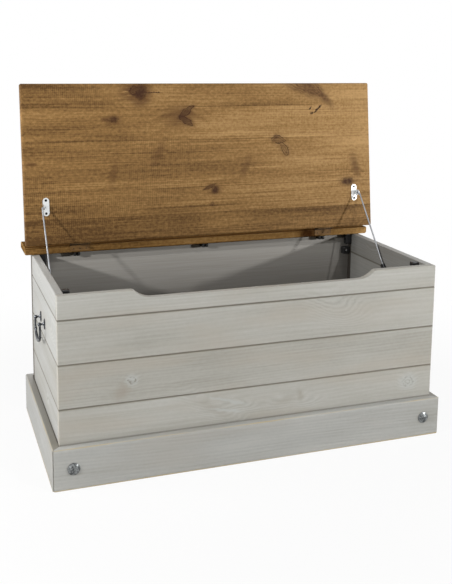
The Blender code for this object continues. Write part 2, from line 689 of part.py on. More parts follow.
def build_stay_guide(name, side):
    """A hook on the side panel that the rod rests in, open upwards and forwards."""
    _, open_tilt, closed_tilt = stay_geometry()
    wall = GUIDE_HALF_SLOT + GUIDE_WALL
    panel = INNER_HALF_WIDTH - STAY_ROD_X - GAP
    floor = -GUIDE_FLOOR_DROP
    hook = [
        (-wall, floor - GUIDE_WALL), (GUIDE_HALF_SLOT, floor - GUIDE_WALL), (GUIDE_HALF_SLOT, -GUIDE_FOOT),
        (panel, -GUIDE_FOOT), (panel, GUIDE_LIP_RISE), (GUIDE_HALF_SLOT, GUIDE_LIP_RISE),
        (GUIDE_HALF_SLOT, floor), (-GUIDE_HALF_SLOT, floor), (-GUIDE_HALF_SLOT, GUIDE_LIP_RISE),
        (-wall, GUIDE_LIP_RISE),
    ]
    outline = [(side * x, y) for x, y in hook]
    middle_tilt = (open_tilt + closed_tilt) / 2
    guide_axis = add_axis(
        f"guide_{name}_axis", (side * STAY_ROD_X, GUIDE_Y, GUIDE_HEIGHT),
        rotation=(middle_tilt + math.pi, 0, 0),
    )
    guide = add_outline(f"stay_{name}_guide", [outline], GUIDE_LENGTH, parent=guide_axis)
    screw_y = (floor - GUIDE_WALL - GUIDE_FOOT) / 2
    screw_hole = add_cylinder(
        f"guide_{name}_screw_hole", GUIDE_SCREW_RADIUS, 2 * BOARD,
        location=(side * panel, screw_y, 0), rotation=(0, math.pi / 2, 0), parent=guide_axis,
    )
    combine(guide, screw_hole, 'DIFFERENCE')
    finish(guide, BLACK_PLASTIC)


def bail_path():
    """Half of the bail's path in its own (y, z) plane, from a pin's end to the bottom, with radii."""
    pin_end = HANDLE_HALF_PITCH - BAIL_PIN_REACH
    shoulder = (BAIL_HALF_WIDTH - BAIL_SHOULDER, -BAIL_SHOULDER)
    path = [(pin_end, 0.0)] + arc(shoulder, BAIL_SHOULDER, 90, 0)
    radii = [BAIL_PIN_RADIUS] * 2 + [BAIL_LEG_RADIUS] * (len(path) - 2)
    bow_centre = BAIL_BOW - BAIL_DROP
    steps = 8
    for i in range(steps + 1):
        angle = math.pi / 2 * i / steps
        path.append((BAIL_HALF_WIDTH * math.cos(angle), bow_centre - BAIL_BOW * math.sin(angle)))
        radii.append(BAIL_LEG_RADIUS + (BAIL_GRIP_RADIUS - BAIL_LEG_RADIUS) * math.sin(angle))
    return path, radii


def build_post(name, x, y, side):
    """A turned post with a ball end, drilled across for the bail's pin."""
    base = HALF_WIDTH + ROSETTE_BOARD + 2 * GAP
    height = HALF_WIDTH + HANDLE_STAND_OFF - base
    meet = math.degrees(math.asin(NECK_RADIUS / BALL_RADIUS))
    profile = arc((0, height), BALL_RADIUS, 90, meet - 90, 9)
    profile += [(NECK_RADIUS, COLLAR_HEIGHT), (COLLAR_RADIUS, COLLAR_HEIGHT / 2), (COLLAR_RADIUS, 0), (0, 0)]
    post = add_turned(
        name, profile, location=(side * base, y, HANDLE_HEIGHT), rotation=(0, side * math.pi / 2, 0),
    )
    hole = add_cylinder(
        f"{name}_hole", BAIL_PIN_RADIUS + GAP, 4 * BALL_RADIUS,
        location=(x, y, HANDLE_HEIGHT), rotation=(math.pi / 2, 0, 0),
    )
    combine(post, hole, 'DIFFERENCE')
    finish(post, PEWTER)


def build_handles():
    """A drop handle on each end: two rosettes, two posts and the bail that swings in them."""
    sphere = (ROSETTE_HALF_HEIGHT ** 2 + ROSETTE_HALF_WIDTH ** 2) / (2 * ROSETTE_HALF_WIDTH)
    half_sweep = math.degrees(math.asin(ROSETTE_HALF_HEIGHT / sphere))
    offset = sphere - ROSETTE_HALF_WIDTH
    leaf = arc((-offset, 0), sphere, -half_sweep, half_sweep, 8)
    leaf += arc((offset, 0), sphere, 180 - half_sweep, 180 + half_sweep, 8)[1:-1]
    middle_y = FRONT_Y + HANDLE_BEHIND_FRONT
    half_path, half_radii = bail_path()
    path = half_path + [(-y, z) for y, z in reversed(half_path[:-1])]
    radii = half_radii + half_radii[-2::-1]
    for name, side in SIDES:
        x = side * (HALF_WIDTH + HANDLE_STAND_OFF)
        for place, way in (("front", -1), ("back", 1)):
            y = middle_y + way * HANDLE_HALF_PITCH
            rosette = add_outline(
                f"handle_{name}_rosette_{place}", [leaf], ROSETTE_BOARD,
                location=(side * (HALF_WIDTH + GAP + ROSETTE_BOARD / 2), y, HANDLE_HEIGHT),
                rotation=(math.pi / 2, 0, math.pi / 2),
            )
            ease(rosette, ROSETTE_BOARD / 3)
            finish(rosette, PEWTER)
            build_post(f"handle_{name}_post_{place}", x, y, side)
        points = [(0, y, z) for y, z in path]
        bail = add_wire(f"handle_{name}_bail", points, radii, location=(x, middle_y, HANDLE_HEIGHT))
        finish(bail, PEWTER)


clear_scene()
trunk = new_collection("storage_trunk")
cutters = new_collection("cutters")
build_front()
build_sides()
build_back_and_base()
build_plinth()
build_studs()
build_rail()
build_corner_blocks()
build_handles()
open_lid = add_axis("lid_axis", (0, HINGE_Y, HINGE_Z), rotation=(-LID_OPEN, 0, 0))
build_lid(open_lid)
build_hinges(open_lid)
for side_name, side_sign in SIDES:
    build_stay_bracket(side_name, side_sign, open_lid)
    build_stay_rod(side_name, side_sign, open_lid)
    build_stay_guide(side_name, side_sign)
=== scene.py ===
"""Looks of the storage trunk: a finish for every board and fitting, with hammered studs, cast drop
handles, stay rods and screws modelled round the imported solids."""
from __future__ import annotations

import logging
import math
from contextlib import contextmanager
from dataclasses import dataclass, field
from enum import Enum
from typing import Any, Iterator, Sequence, Union

import bmesh
import bpy
from mathutils import Euler, Matrix, Vector


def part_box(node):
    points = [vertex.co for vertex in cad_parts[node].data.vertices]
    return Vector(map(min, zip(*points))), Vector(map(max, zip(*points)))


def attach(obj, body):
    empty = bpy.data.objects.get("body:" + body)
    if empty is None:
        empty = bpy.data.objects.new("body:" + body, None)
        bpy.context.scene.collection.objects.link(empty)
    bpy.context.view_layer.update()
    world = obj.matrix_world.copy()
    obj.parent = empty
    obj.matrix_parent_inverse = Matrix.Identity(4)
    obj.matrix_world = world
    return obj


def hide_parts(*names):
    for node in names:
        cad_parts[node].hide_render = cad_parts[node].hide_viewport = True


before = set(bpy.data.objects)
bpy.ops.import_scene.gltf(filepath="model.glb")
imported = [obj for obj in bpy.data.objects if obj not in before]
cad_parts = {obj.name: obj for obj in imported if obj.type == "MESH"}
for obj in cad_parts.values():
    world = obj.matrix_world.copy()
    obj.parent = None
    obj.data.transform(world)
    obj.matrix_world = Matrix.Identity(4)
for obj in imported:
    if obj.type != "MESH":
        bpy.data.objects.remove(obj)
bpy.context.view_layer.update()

LOG = logging.getLogger("trunk")
MM = 0.001
SIDES = (("left", -1), ("right", 1))
Colour = tuple[float, float, float, float]
Span = tuple[float, float]
Value = Union["Signal", float, Sequence[float]]
WHITE: Colour = (1.0, 1.0, 1.0, 1.0)


def swatch(red: int, green: int, blue: int) -> Colour:
    """A shader's colour from a paint swatch.

    Args:
        red: red value, 0 to 255.
        green: green value, 0 to 255.
        blue: blue value, 0 to 255.

    Returns:
        The colour in linear light, with full alpha.
    """
    def linear(value: int) -> float:
        """One channel in linear light, by the sRGB curve."""
        part = value / 255
        return part / 12.92 if part <= 0.04045 else ((part + 0.055) / 1.055) ** 2.4

    return linear(red), linear(green), linear(blue), 1.0


class Signal:
    """A socket of a finish; arithmetic on it adds Math nodes."""

    def __init__(self, shader: Shader, socket: bpy.types.NodeSocket) -> None:
        """Keep the socket and the finish that it belongs to."""
        self.shader = shader
        self.socket = socket

    def math(self, operation: str, *others: Value) -> Signal:
        """A Math node with this signal as its first value."""
        return self.shader.math(operation, self, *others)

    def __add__(self, other: Value) -> Signal:
        """This signal plus a value."""
        return self.math("ADD", other)

    __radd__ = __add__

    def __sub__(self, other: Value) -> Signal:
        """This signal minus a value."""
        return self.math("SUBTRACT", other)

    def __rsub__(self, other: Value) -> Signal:
        """A value minus this signal."""
        return self.shader.math("SUBTRACT", other, self)

    def __mul__(self, other: Value) -> Signal:
        """This signal times a value."""
        return self.math("MULTIPLY", other)

    __rmul__ = __mul__

    def __truediv__(self, other: Value) -> Signal:
        """This signal divided by a value."""
        return self.math("DIVIDE", other)

    def __rtruediv__(self, other: Value) -> Signal:
        """A value divided by this signal."""
        return self.shader.math("DIVIDE", other, self)

    def __gt__(self, other: Value) -> Signal:
        """One where this signal is above a value, and else zero."""
        return self.math("GREATER_THAN", other)

    def size(self) -> Signal:
        """This signal without its sign."""
        return self.math("ABSOLUTE")

    def most(self, other: Value) -> Signal:
        """The larger one of this signal and a value."""
        return self.math("MAXIMUM", other)

    def smooth(self, start: float, end: float) -> Signal:
        """A soft step from zero at the start to one at the end, which may lie below the start."""
        sockets = {"Value": self, "From Min": start, "From Max": end}
        return self.shader.node("ShaderNodeMapRange", {"interpolation_type": "SMOOTHSTEP"}, sockets)


class Shader:
    """The node tree of a material or of the world."""

    # The way that a seed shifts a pattern.
    SEED_WAY = (1.0, 1.7, 0.6)

    def __init__(self, owner: bpy.types.Material | bpy.types.World) -> None:
        """Start with an empty tree.

        Args:
            owner: the material or the world.
        """
        self.owner = owner
        owner.use_nodes = True
        self.tree = owner.node_tree
        self.tree.nodes.clear()

    def node(self, kind: str, settings: dict[str, Any] | None = None,
             sockets: dict[str | int, Value] | None = None, out: str | int = 0) -> Signal:
        """Add a node.

        Args:
            kind: the node's type.
            settings: its properties, set first; "stops" gives a ramp's places and colours.
            sockets: values or links of its inputs.
            out: the output that is used.

        Returns:
            The chosen output.
        """
        made = self.tree.nodes.new(kind)
        for key, value in (settings or {}).items():
            if key == "stops":
                ramp = made.color_ramp.elements
                while len(ramp) < len(value):
                    ramp.new(1.0)
                for element, (place, colour) in zip(ramp, value):
                    element.position = place
                    element.color = colour
            else:
                setattr(made, key, value)
        for key, value in (sockets or {}).items():
            if isinstance(value, Signal):
                self.tree.links.new(value.socket, made.inputs[key])
            else:
                made.inputs[key].default_value = value
        return Signal(self, made.outputs[out])

    def math(self, operation: str, *values: Value) -> Signal:
        """A Math node on some values."""
        return self.node("ShaderNodeMath", {"operation": operation}, dict(enumerate(values)))

    def vector(self, operation: str, *values: Value, out: str = "Vector") -> Signal:
        """A Vector Math node on some vectors."""
        return self.node("ShaderNodeVectorMath", {"operation": operation}, dict(enumerate(values)), out)

    def mix(self, factor: Value, first: Value, second: Value, way: str = "MIX") -> Signal:
        """Two colours mixed by a factor."""
        settings = {"data_type": "RGBA", "blend_type": way}
        return self.node("ShaderNodeMix", settings, {0: factor, 6: first, 7: second}, 2)

    def ramp(self, value: Signal, *colours: Colour) -> Signal:
        """Colours spread evenly over a value from zero to one."""
        stops = [(number / (len(colours) - 1), colour) for number, colour in enumerate(colours)]
        return self.node("ShaderNodeValToRGB", {"stops": stops}, {0: value})

    def place(self) -> Signal:
        """The piece's own coordinates."""
        return self.node("ShaderNodeTexCoord", out="Object")

    def within(self, point: Signal, place: Sequence[float], turn: Sequence[float],
               scale: Sequence[float] = (1, 1, 1)) -> Signal:
        """A point as a frame with its own place, turn and scale has it."""
        sockets = {"Vector": point, "Location": place, "Rotation": turn, "Scale": scale}
        return self.node("ShaderNodeMapping", {"vector_type": "TEXTURE"}, sockets)

    def parts(self, vector: Signal) -> tuple[Signal, Signal, Signal]:
        """The three numbers of a vector."""
        split = self.node("ShaderNodeSeparateXYZ", sockets={0: vector})
        return tuple(Signal(self, socket) for socket in split.socket.node.outputs)

    def joined(self, *numbers: Signal) -> Signal:
        """The vector of three numbers."""
        return self.node("ShaderNodeCombineXYZ", sockets=dict(enumerate(numbers)))

    def noise(self, point: Signal, stretch: Sequence[float], seed: float, detail: float = 2.0,
              out: str | int = 0) -> Signal:
        """Noise that is stretched along the axes of a point.

        Args:
            point: where the noise is read.
            stretch: how fast it changes along each axis, per metre.
            seed: shifts the pattern.
            detail: how many finer layers it has.
            out: the noise node's output.

        Returns:
            The noise, about one half on average.
        """
        shift = tuple(seed * way for way in self.SEED_WAY)
        moved = self.node("ShaderNodeMapping", None, {"Vector": point, "Location": shift, "Scale": stretch})
        return self.node("ShaderNodeTexNoise", None, {"Vector": moved, "Scale": 1.0, "Detail": detail}, out)

    def near_edges(self, point: Signal, low: Vector, high: Vector, width: float) -> Signal:
        """A mask that is one along the edges of a box.

        Args:
            point: where the mask is read.
            low: the box's lowest corner.
            high: the box's highest corner.
            width: how far the mask reaches from an edge.

        Returns:
            The mask.
        """
        middle = self.vector("SUBTRACT", point, (low + high) / 2)
        inside = self.vector("SUBTRACT", (high - low) / 2, self.vector("ABSOLUTE", middle))
        x, y, z = (part.smooth(width, 0.0) for part in self.parts(inside))
        return (x * y).most(y * z).most(z * x)

    def close(self, body: Signal, output: str = "ShaderNodeOutputMaterial") -> None:
        """Link a surface to the tree's output."""
        end = self.tree.nodes.new(output)
        self.tree.links.new(body.socket, end.inputs["Surface"])

    def surface(self, colour: Value, roughness: Value, height: Signal, depth: float,
                gloss: float = 0.5, metallic: float = 0.0) -> bpy.types.Material:
        """Close the tree with a Principled surface.

        Args:
            colour: base colour.
            roughness: roughness.
            height: what the bump reads.
            depth: the bump's depth in metres.
            gloss: specular level.
            metallic: one for metal, and else zero.

        Returns:
            The material.
        """
        sockets = {
            "Base Color": colour,
            "Roughness": roughness,
            "Metallic": metallic,
            "Specular IOR Level": gloss,
            "Normal": self.node("ShaderNodeBump", sockets={"Height": height, "Distance": depth}),
        }
        self.close(self.node("ShaderNodeBsdfPrincipled", sockets=sockets))
        return self.owner


class GrainRun(Enum):
    """Axes of a board: along its grain, across it and through it."""

    WIDTH_UPRIGHT = (0, 2, 1)
    DEPTH_UPRIGHT = (1, 2, 0)
    WIDTH_FLAT = (0, 1, 2)

    def sort(self, axes: Sequence[Signal]) -> list[Signal]:
        """The axes along, across and through the board."""
        return [axes[i] for i in self.value]


class Pattern(Enum):
    """Noises in wood: changes per metre along and across it, step of the seed, and finer layers."""

    MOTTLE = (120, 150, 1, 3)
    WANDER = (1.1, 6, 2, 1)
    BROAD = (2.4, 26, 3, 4)
    FIBRE = (6, 330, 4, 2)
    BLOTCH = (3, 8, 5, 3)
    DASHES = (24, 620, 6, 1)
    SAWN = (4, 9, 7, 1)
    SHIVER = (9, 30, 8, 1)
    RAGGED = (60, 90, 9, 2)
    TORN = (260, 330, 9, 2)
    LINES = (2.6, 260, 10, 1)
    WAX_RUB = (9, 40, 11, 3)
    PAINT_RUB = (7, 60, 11, 4)
    SPECK = (380, 620, 12, 1)
    WARM = (3, 14, 13, 3)
    COMB = (0.9, 7, 15, 3)


@dataclass(frozen=True)
class WoodMix:
    """How strongly each pattern of the wood shows in a finish's tone and in its relief."""

    base: float = 0.5
    broad: float = 0.0
    rings: float = 0.0
    fibre: float = 0.0
    mottle: float = 0.0
    speck: float = 0.0
    blotch: float = 0.0
    saw: float = 0.0
    dashes: float = 0.0
    lines: float = 0.0
    swirl: float = 0.0
    ring_relief: float = 0.0
    saw_relief: float = 0.0
    dash_relief: float = 0.0


@dataclass(frozen=True)
class KnotLook:
    """Strength of a knot's heart, rim, stain and halo and of its pull on the grain, and its form."""

    heart: float = 0.0
    rim: float = 0.0
    stain: float = 0.0
    halo: float = 0.0
    pull: float = 0.0
    rim_band: float = 0.30
    pointed: bool = False
    combed: bool = False


class KnotKind(Enum):
    """Kinds of knot, and of the marks round knots."""

    EYE = KnotLook(heart=0.90, rim=0.60, halo=0.60, pull=0.7)
    SPIKE = KnotLook(heart=0.52, rim=1.00, halo=0.55, pull=0.3, pointed=True)
    RING = KnotLook(heart=0.15, rim=0.90, halo=0.35, pull=0.2, pointed=True, rim_band=0.17)
    PALE_EYE = KnotLook(heart=0.72, rim=0.80, halo=0.80, pull=0.9)
    PALE_RING = KnotLook(rim=0.45, halo=0.80, pull=0.9)
    STREAK = KnotLook(halo=0.85)
    SMUDGE = KnotLook(stain=0.90, pull=0.1)
    FAN = KnotLook(stain=1.00, pull=0.1, combed=True)
    CLOUD = KnotLook(stain=0.52, pull=0.4)
    TRACE = KnotLook(stain=0.62, halo=0.15, pull=0.7)
    CRACK = KnotLook(heart=1.00)
    SWIRL = KnotLook(halo=0.15, pull=1.0)


@dataclass(frozen=True)
class Knot:
    """A knot at a place on a board, in metres along and across the grain."""

    along: float
    across: float
    length: float
    width: float
    turn: float = 0.0
    kind: KnotKind = KnotKind.EYE


class Grain:
    """The patterns of a board, as signals that a finish colours."""

    # How far the patterns move from one board to the next, in metres.
    BOARD_STEP = (1.7, 0.0, 0.9)
    # How far marks are torn along and across the grain.
    TEARS = ((Pattern.RAGGED, (14 * MM, 10 * MM, 0)), (Pattern.TORN, (5 * MM, 4 * MM, 0)))
    # Where the masks of a knot start and are full, in the knot's own sizes.
    HEART = (1.05, 0.60)
    STAIN = (1.60, 0.10)
    HALO = (2.40, 0.80)
    SWIRL = (2.80, 0.60)
    LIFT = (2.80, 0.20)
    LIFT_BY_LENGTH = 0.3
    # A knot's outer and inner rim, in the same sizes.
    RIM, INNER_RIM = 0.9, 0.4
    INNER_BAND, INNER_SHARE, RIM_LINE = 0.16, 0.75, 0.02
    # Thresholds and weights of the noises.
    COMBED = (0.32, 0.58)
    WANDER = 0.09
    DASHES = (0.60, 0.76)
    DARK_LINES = (0.61, 0.72)
    PALE_LINES = (0.40, 0.30)
    PALE_SHARE = 0.8
    SAWN = (0.44, 0.70)
    SAW_PITCH = 5 * MM
    SAW_SHIVER = 9.0
    RUB = 0.8
    RUBBED = (0.85, 1.20)
    # What each pattern is on average.
    AVERAGES = {"broad": 0.5, "rings": 0.5, "fibre": 0.5, "mottle": 0.5, "speck": 0.5, "blotch": 0.5,
                "saw": 0.0, "dashes": 0.0, "lines": 0.0}

    def __init__(self, shader: Shader, point: Signal, boards: Signal | None, knots: Sequence[Knot],
                 seed: float, pitch: float) -> None:
        """Work the patterns out.

        Args:
            shader: the finish that uses them.
            point: place along, across and through the board.
            boards: number of the board, where one piece shows several.
            knots: the knots.
            seed: shifts the patterns.
            pitch: distance between two rings, in metres.
        """
        self.shader = shader
        self.point = point
        self.seed = seed
        self.heart: Value = 0.0
        self.stain: Value = 0.0
        self.halo: Value = 0.0
        self.swirl: Value = 0.0
        self.lift: Value = 0.0
        if knots:
            ragged = self.ragged()
            for knot in knots:
                self.add_knot(ragged, knot)
        along, across, _ = shader.parts(point)
        moved = point
        if boards is not None:
            moved = shader.vector("MULTIPLY_ADD", boards, self.BOARD_STEP, point)
        phase = across + self.lift + self.noise(Pattern.WANDER, moved) * self.WANDER
        self.rings = (phase * (2 * math.pi / pitch)).math("SINE") * 0.5 + 0.5
        self.broad = self.noise(Pattern.BROAD, moved)
        self.fibre = self.noise(Pattern.FIBRE, moved)
        self.blotch = self.noise(Pattern.BLOTCH, moved)
        self.mottle = self.noise(Pattern.MOTTLE, point)
        self.speck = self.noise(Pattern.SPECK, point)
        self.dashes = self.noise(Pattern.DASHES, moved).smooth(*self.DASHES)
        streak = self.noise(Pattern.LINES, moved)
        self.lines = streak.smooth(*self.DARK_LINES) - streak.smooth(*self.PALE_LINES) * self.PALE_SHARE
        shiver = self.noise(Pattern.SHIVER, point) * self.SAW_SHIVER
        teeth = (along * (2 * math.pi / self.SAW_PITCH) + shiver).math("SINE")
        self.saw = teeth * self.noise(Pattern.SAWN, point).smooth(*self.SAWN)

    def noise(self, pattern: Pattern, point: Signal, out: str | int = 0) -> Signal:
        """One of the noises, read at a point."""
        along, across, step, layers = pattern.value
        return self.shader.noise(point, (along, across, across), self.seed + step, layers, out)

    def ragged(self) -> Signal:
        """The place on the board's face, torn a little so that marks get ragged edges.

        Returns:
            The torn place.
        """
        place = self.point
        for pattern, swing in self.TEARS:
            tear = self.shader.vector("SUBTRACT", self.noise(pattern, self.point, "Color"), (0.5, 0.5, 0.5))
            place = self.shader.vector("MULTIPLY_ADD", tear, swing, place)
        return self.shader.vector("MULTIPLY", place, (1, 1, 0))

    def add_knot(self, point: Signal, knot: Knot) -> None:
        """Add a knot to the masks, and to the lift that bends the rings round it.

        Args:
            point: where the masks are read.
            knot: the knot.
        """
        look = knot.kind.value
        turn = (0, 0, math.radians(knot.turn))
        local = self.shader.within(point, (knot.along, knot.across, 0), turn, (knot.length, knot.width, 1))
        reach = self.shader.vector("LENGTH", local, out="Value")
        if look.pointed:
            length, width, _ = self.shader.parts(local)
            reach = length * length + width.size()
        if look.heart:
            self.heart = (reach.smooth(*self.HEART) * look.heart).most(self.heart)
        if look.rim:
            inner = (self.INNER_RIM, self.INNER_BAND, look.rim * self.INNER_SHARE)
            for radius, band, strength in ((self.RIM, look.rim_band, look.rim), inner):
                ring = (reach - radius).size().smooth(band, self.RIM_LINE) * strength
                self.heart = ring.most(self.heart)
        if look.stain:
            stain = reach.smooth(*self.STAIN) * look.stain
            if look.combed:
                stain = stain * self.noise(Pattern.COMB, local).smooth(*self.COMBED)
            self.stain = stain.most(self.stain)
        if look.halo:
            self.halo = (reach.smooth(*self.HALO) * look.halo).most(self.halo)
        if look.pull:
            self.swirl = (reach.smooth(*self.SWIRL) * look.pull).most(self.swirl)
            height = look.pull * (knot.width + self.LIFT_BY_LENGTH * knot.length)
            self.lift = reach.smooth(*self.LIFT) * height + self.lift

    def shade(self, mix: WoodMix) -> Signal:
        """The wood's tone.

        Args:
            mix: how strongly each pattern shows.

        Returns:
            The tone, from dark at zero to pale at one.
        """
        tone = (self.rings - 0.5) * self.swirl * mix.swirl + mix.base
        for name, average in self.AVERAGES.items():
            weight = getattr(mix, name)
            if weight:
                tone = tone + (getattr(self, name) - average) * weight
        return tone

    def relief(self, mix: WoodMix) -> Signal:
        """The wood's relief.

        Args:
            mix: how strongly each pattern shows.

        Returns:
            What a bump reads.
        """
        height = self.fibre
        patterns = ((self.rings, mix.ring_relief), (self.saw, mix.saw_relief), (self.dashes, mix.dash_relief))
        for pattern, weight in patterns:
            if weight:
                height = height + pattern * weight
        return height

    def rubbed(self, pattern: Pattern, edges: Signal, edge_wear: float) -> Signal:
        """A mask of what hands have rubbed off, most of it along the edges."""
        return (edges * edge_wear + self.noise(pattern, self.point) * self.RUB).smooth(*self.RUBBED)


@dataclass(frozen=True)
class WaxedPine:
    """Brown wax on edge-glued pine boards."""

    name: str
    run: GrainRun
    low: Vector
    high: Vector
    seed: float
    joints: tuple[float, ...] = ()  # glue lines across the grain
    tones: tuple[float, ...] = (0.0,)  # one for each board between them
    knots: tuple[Knot, ...] = ()
    drift: float = 0.0  # gain in tone per metre along the grain
    rub: float = 0.6
    edge_wear: float = 0.55
    edge_width: float = 6 * MM
    gloss: float = 0.18
    roughness: float = 0.62
    sheen: float = 0.25
    dull: float = 0.1
    depth: float = 0.35 * MM
    ring_pitch: float = 17 * MM
    glue_line: Span = (1.2 * MM, 0.2 * MM)
    glue_dark: float = 0.30
    broken: Span = (0.25, 0.60)
    turned_face: float | None = None  # beyond it, the figure is turned round
    lid_shadow_depth: float = 0.0  # reach of the painted shadow that the open lid casts on the upper face's front
    lid_shadow_skin: Span = (1.2 * MM, 0.3 * MM)
    lid_shadow: float = 0.6
    frame_place: tuple[float, float, float] = (0.0, 0.0, 0.0)  # the board's own frame
    frame_turn: float = 0.0
    mix: WoodMix = WoodMix(
        base=0.53, broad=0.85, rings=0.06, fibre=0.60, mottle=0.80, speck=0.38, blotch=0.95, saw=0.09,
        dashes=-0.15, lines=-0.17, swirl=0.22, ring_relief=0.25, saw_relief=0.30, dash_relief=-0.6)
    dark: Colour = swatch(88, 61, 30)
    brown: Colour = swatch(145, 110, 64)
    pale: Colour = swatch(186, 148, 96)
    heart: Colour = swatch(58, 32, 15)
    stain: Colour = swatch(80, 50, 25)
    worn: Colour = swatch(196, 160, 108)

    def material(self) -> bpy.types.Material:
        """Build the finish.

        Returns:
            The material.
        """
        shader = Shader(bpy.data.materials.new(self.name))
        own = shader.within(shader.place(), self.frame_place, (self.frame_turn, 0, 0))
        along, across, through = self.run.sort(shader.parts(own))
        if self.turned_face is not None:
            outer = through > self.turned_face
            middle = (self.low + self.high) / 2
            along = along * (1 - outer * 2)
            across = across * (1 - outer * 2) + outer * (2 * middle[self.run.value[1]])
        board = along * 0.0
        tone = along * self.drift + self.tones[0]
        for edge, before, after in zip(self.joints, self.tones, self.tones[1:]):
            past = across > edge
            board = board + past
            tone = tone + past * (after - before)
            tone = tone - (across - edge).size().smooth(*self.glue_line) * self.glue_dark
        point = shader.joined(along, across, through)
        grain = Grain(shader, point, board, self.knots, self.seed, self.ring_pitch)
        colour = shader.ramp(grain.shade(self.mix) + tone, self.dark, self.brown, self.pale)
        if self.knots:
            colour = self.figured(shader, grain, colour)
        edges = shader.near_edges(own, self.low, self.high, self.edge_width)
        wear = grain.rubbed(Pattern.WAX_RUB, edges, self.edge_wear)
        colour = shader.mix(wear * self.rub, colour, self.worn)
        # Painted shadow: a band along the upper face's front is darkened, in the heart colour, where the open
        # lid shades it.
        if self.lid_shadow_depth:
            top = through.smooth(*(self.high.z - skin for skin in self.lid_shadow_skin))
            lid_shadow = (across - self.low.y).smooth(self.lid_shadow_depth, 0.0) * top
            colour = shader.mix(lid_shadow * self.lid_shadow, colour, self.heart)
        roughness = self.roughness - (grain.broad - 0.5) * self.sheen + grain.dashes * self.dull
        return shader.surface(colour, roughness, grain.relief(self.mix), self.depth, self.gloss)

    def figured(self, shader: Shader, grain: Grain, colour: Signal) -> Signal:
        """Colour the knots, broken up by the mottle.

        Args:
            shader: the finish's tree.
            grain: the patterns.
            colour: the wood's colour.

        Returns:
            The colour with the knots.
        """
        broken = grain.mottle.smooth(*self.broken)
        marks = ((grain.stain, 0.4, 0.6, self.stain), (grain.halo, 0.6, 0.3, self.stain),
                 (grain.heart, 0.3, 0.7, self.heart))
        for mask, swing, least, tint in marks:
            colour = shader.mix((broken * swing + least) * mask, colour, tint)
        return colour


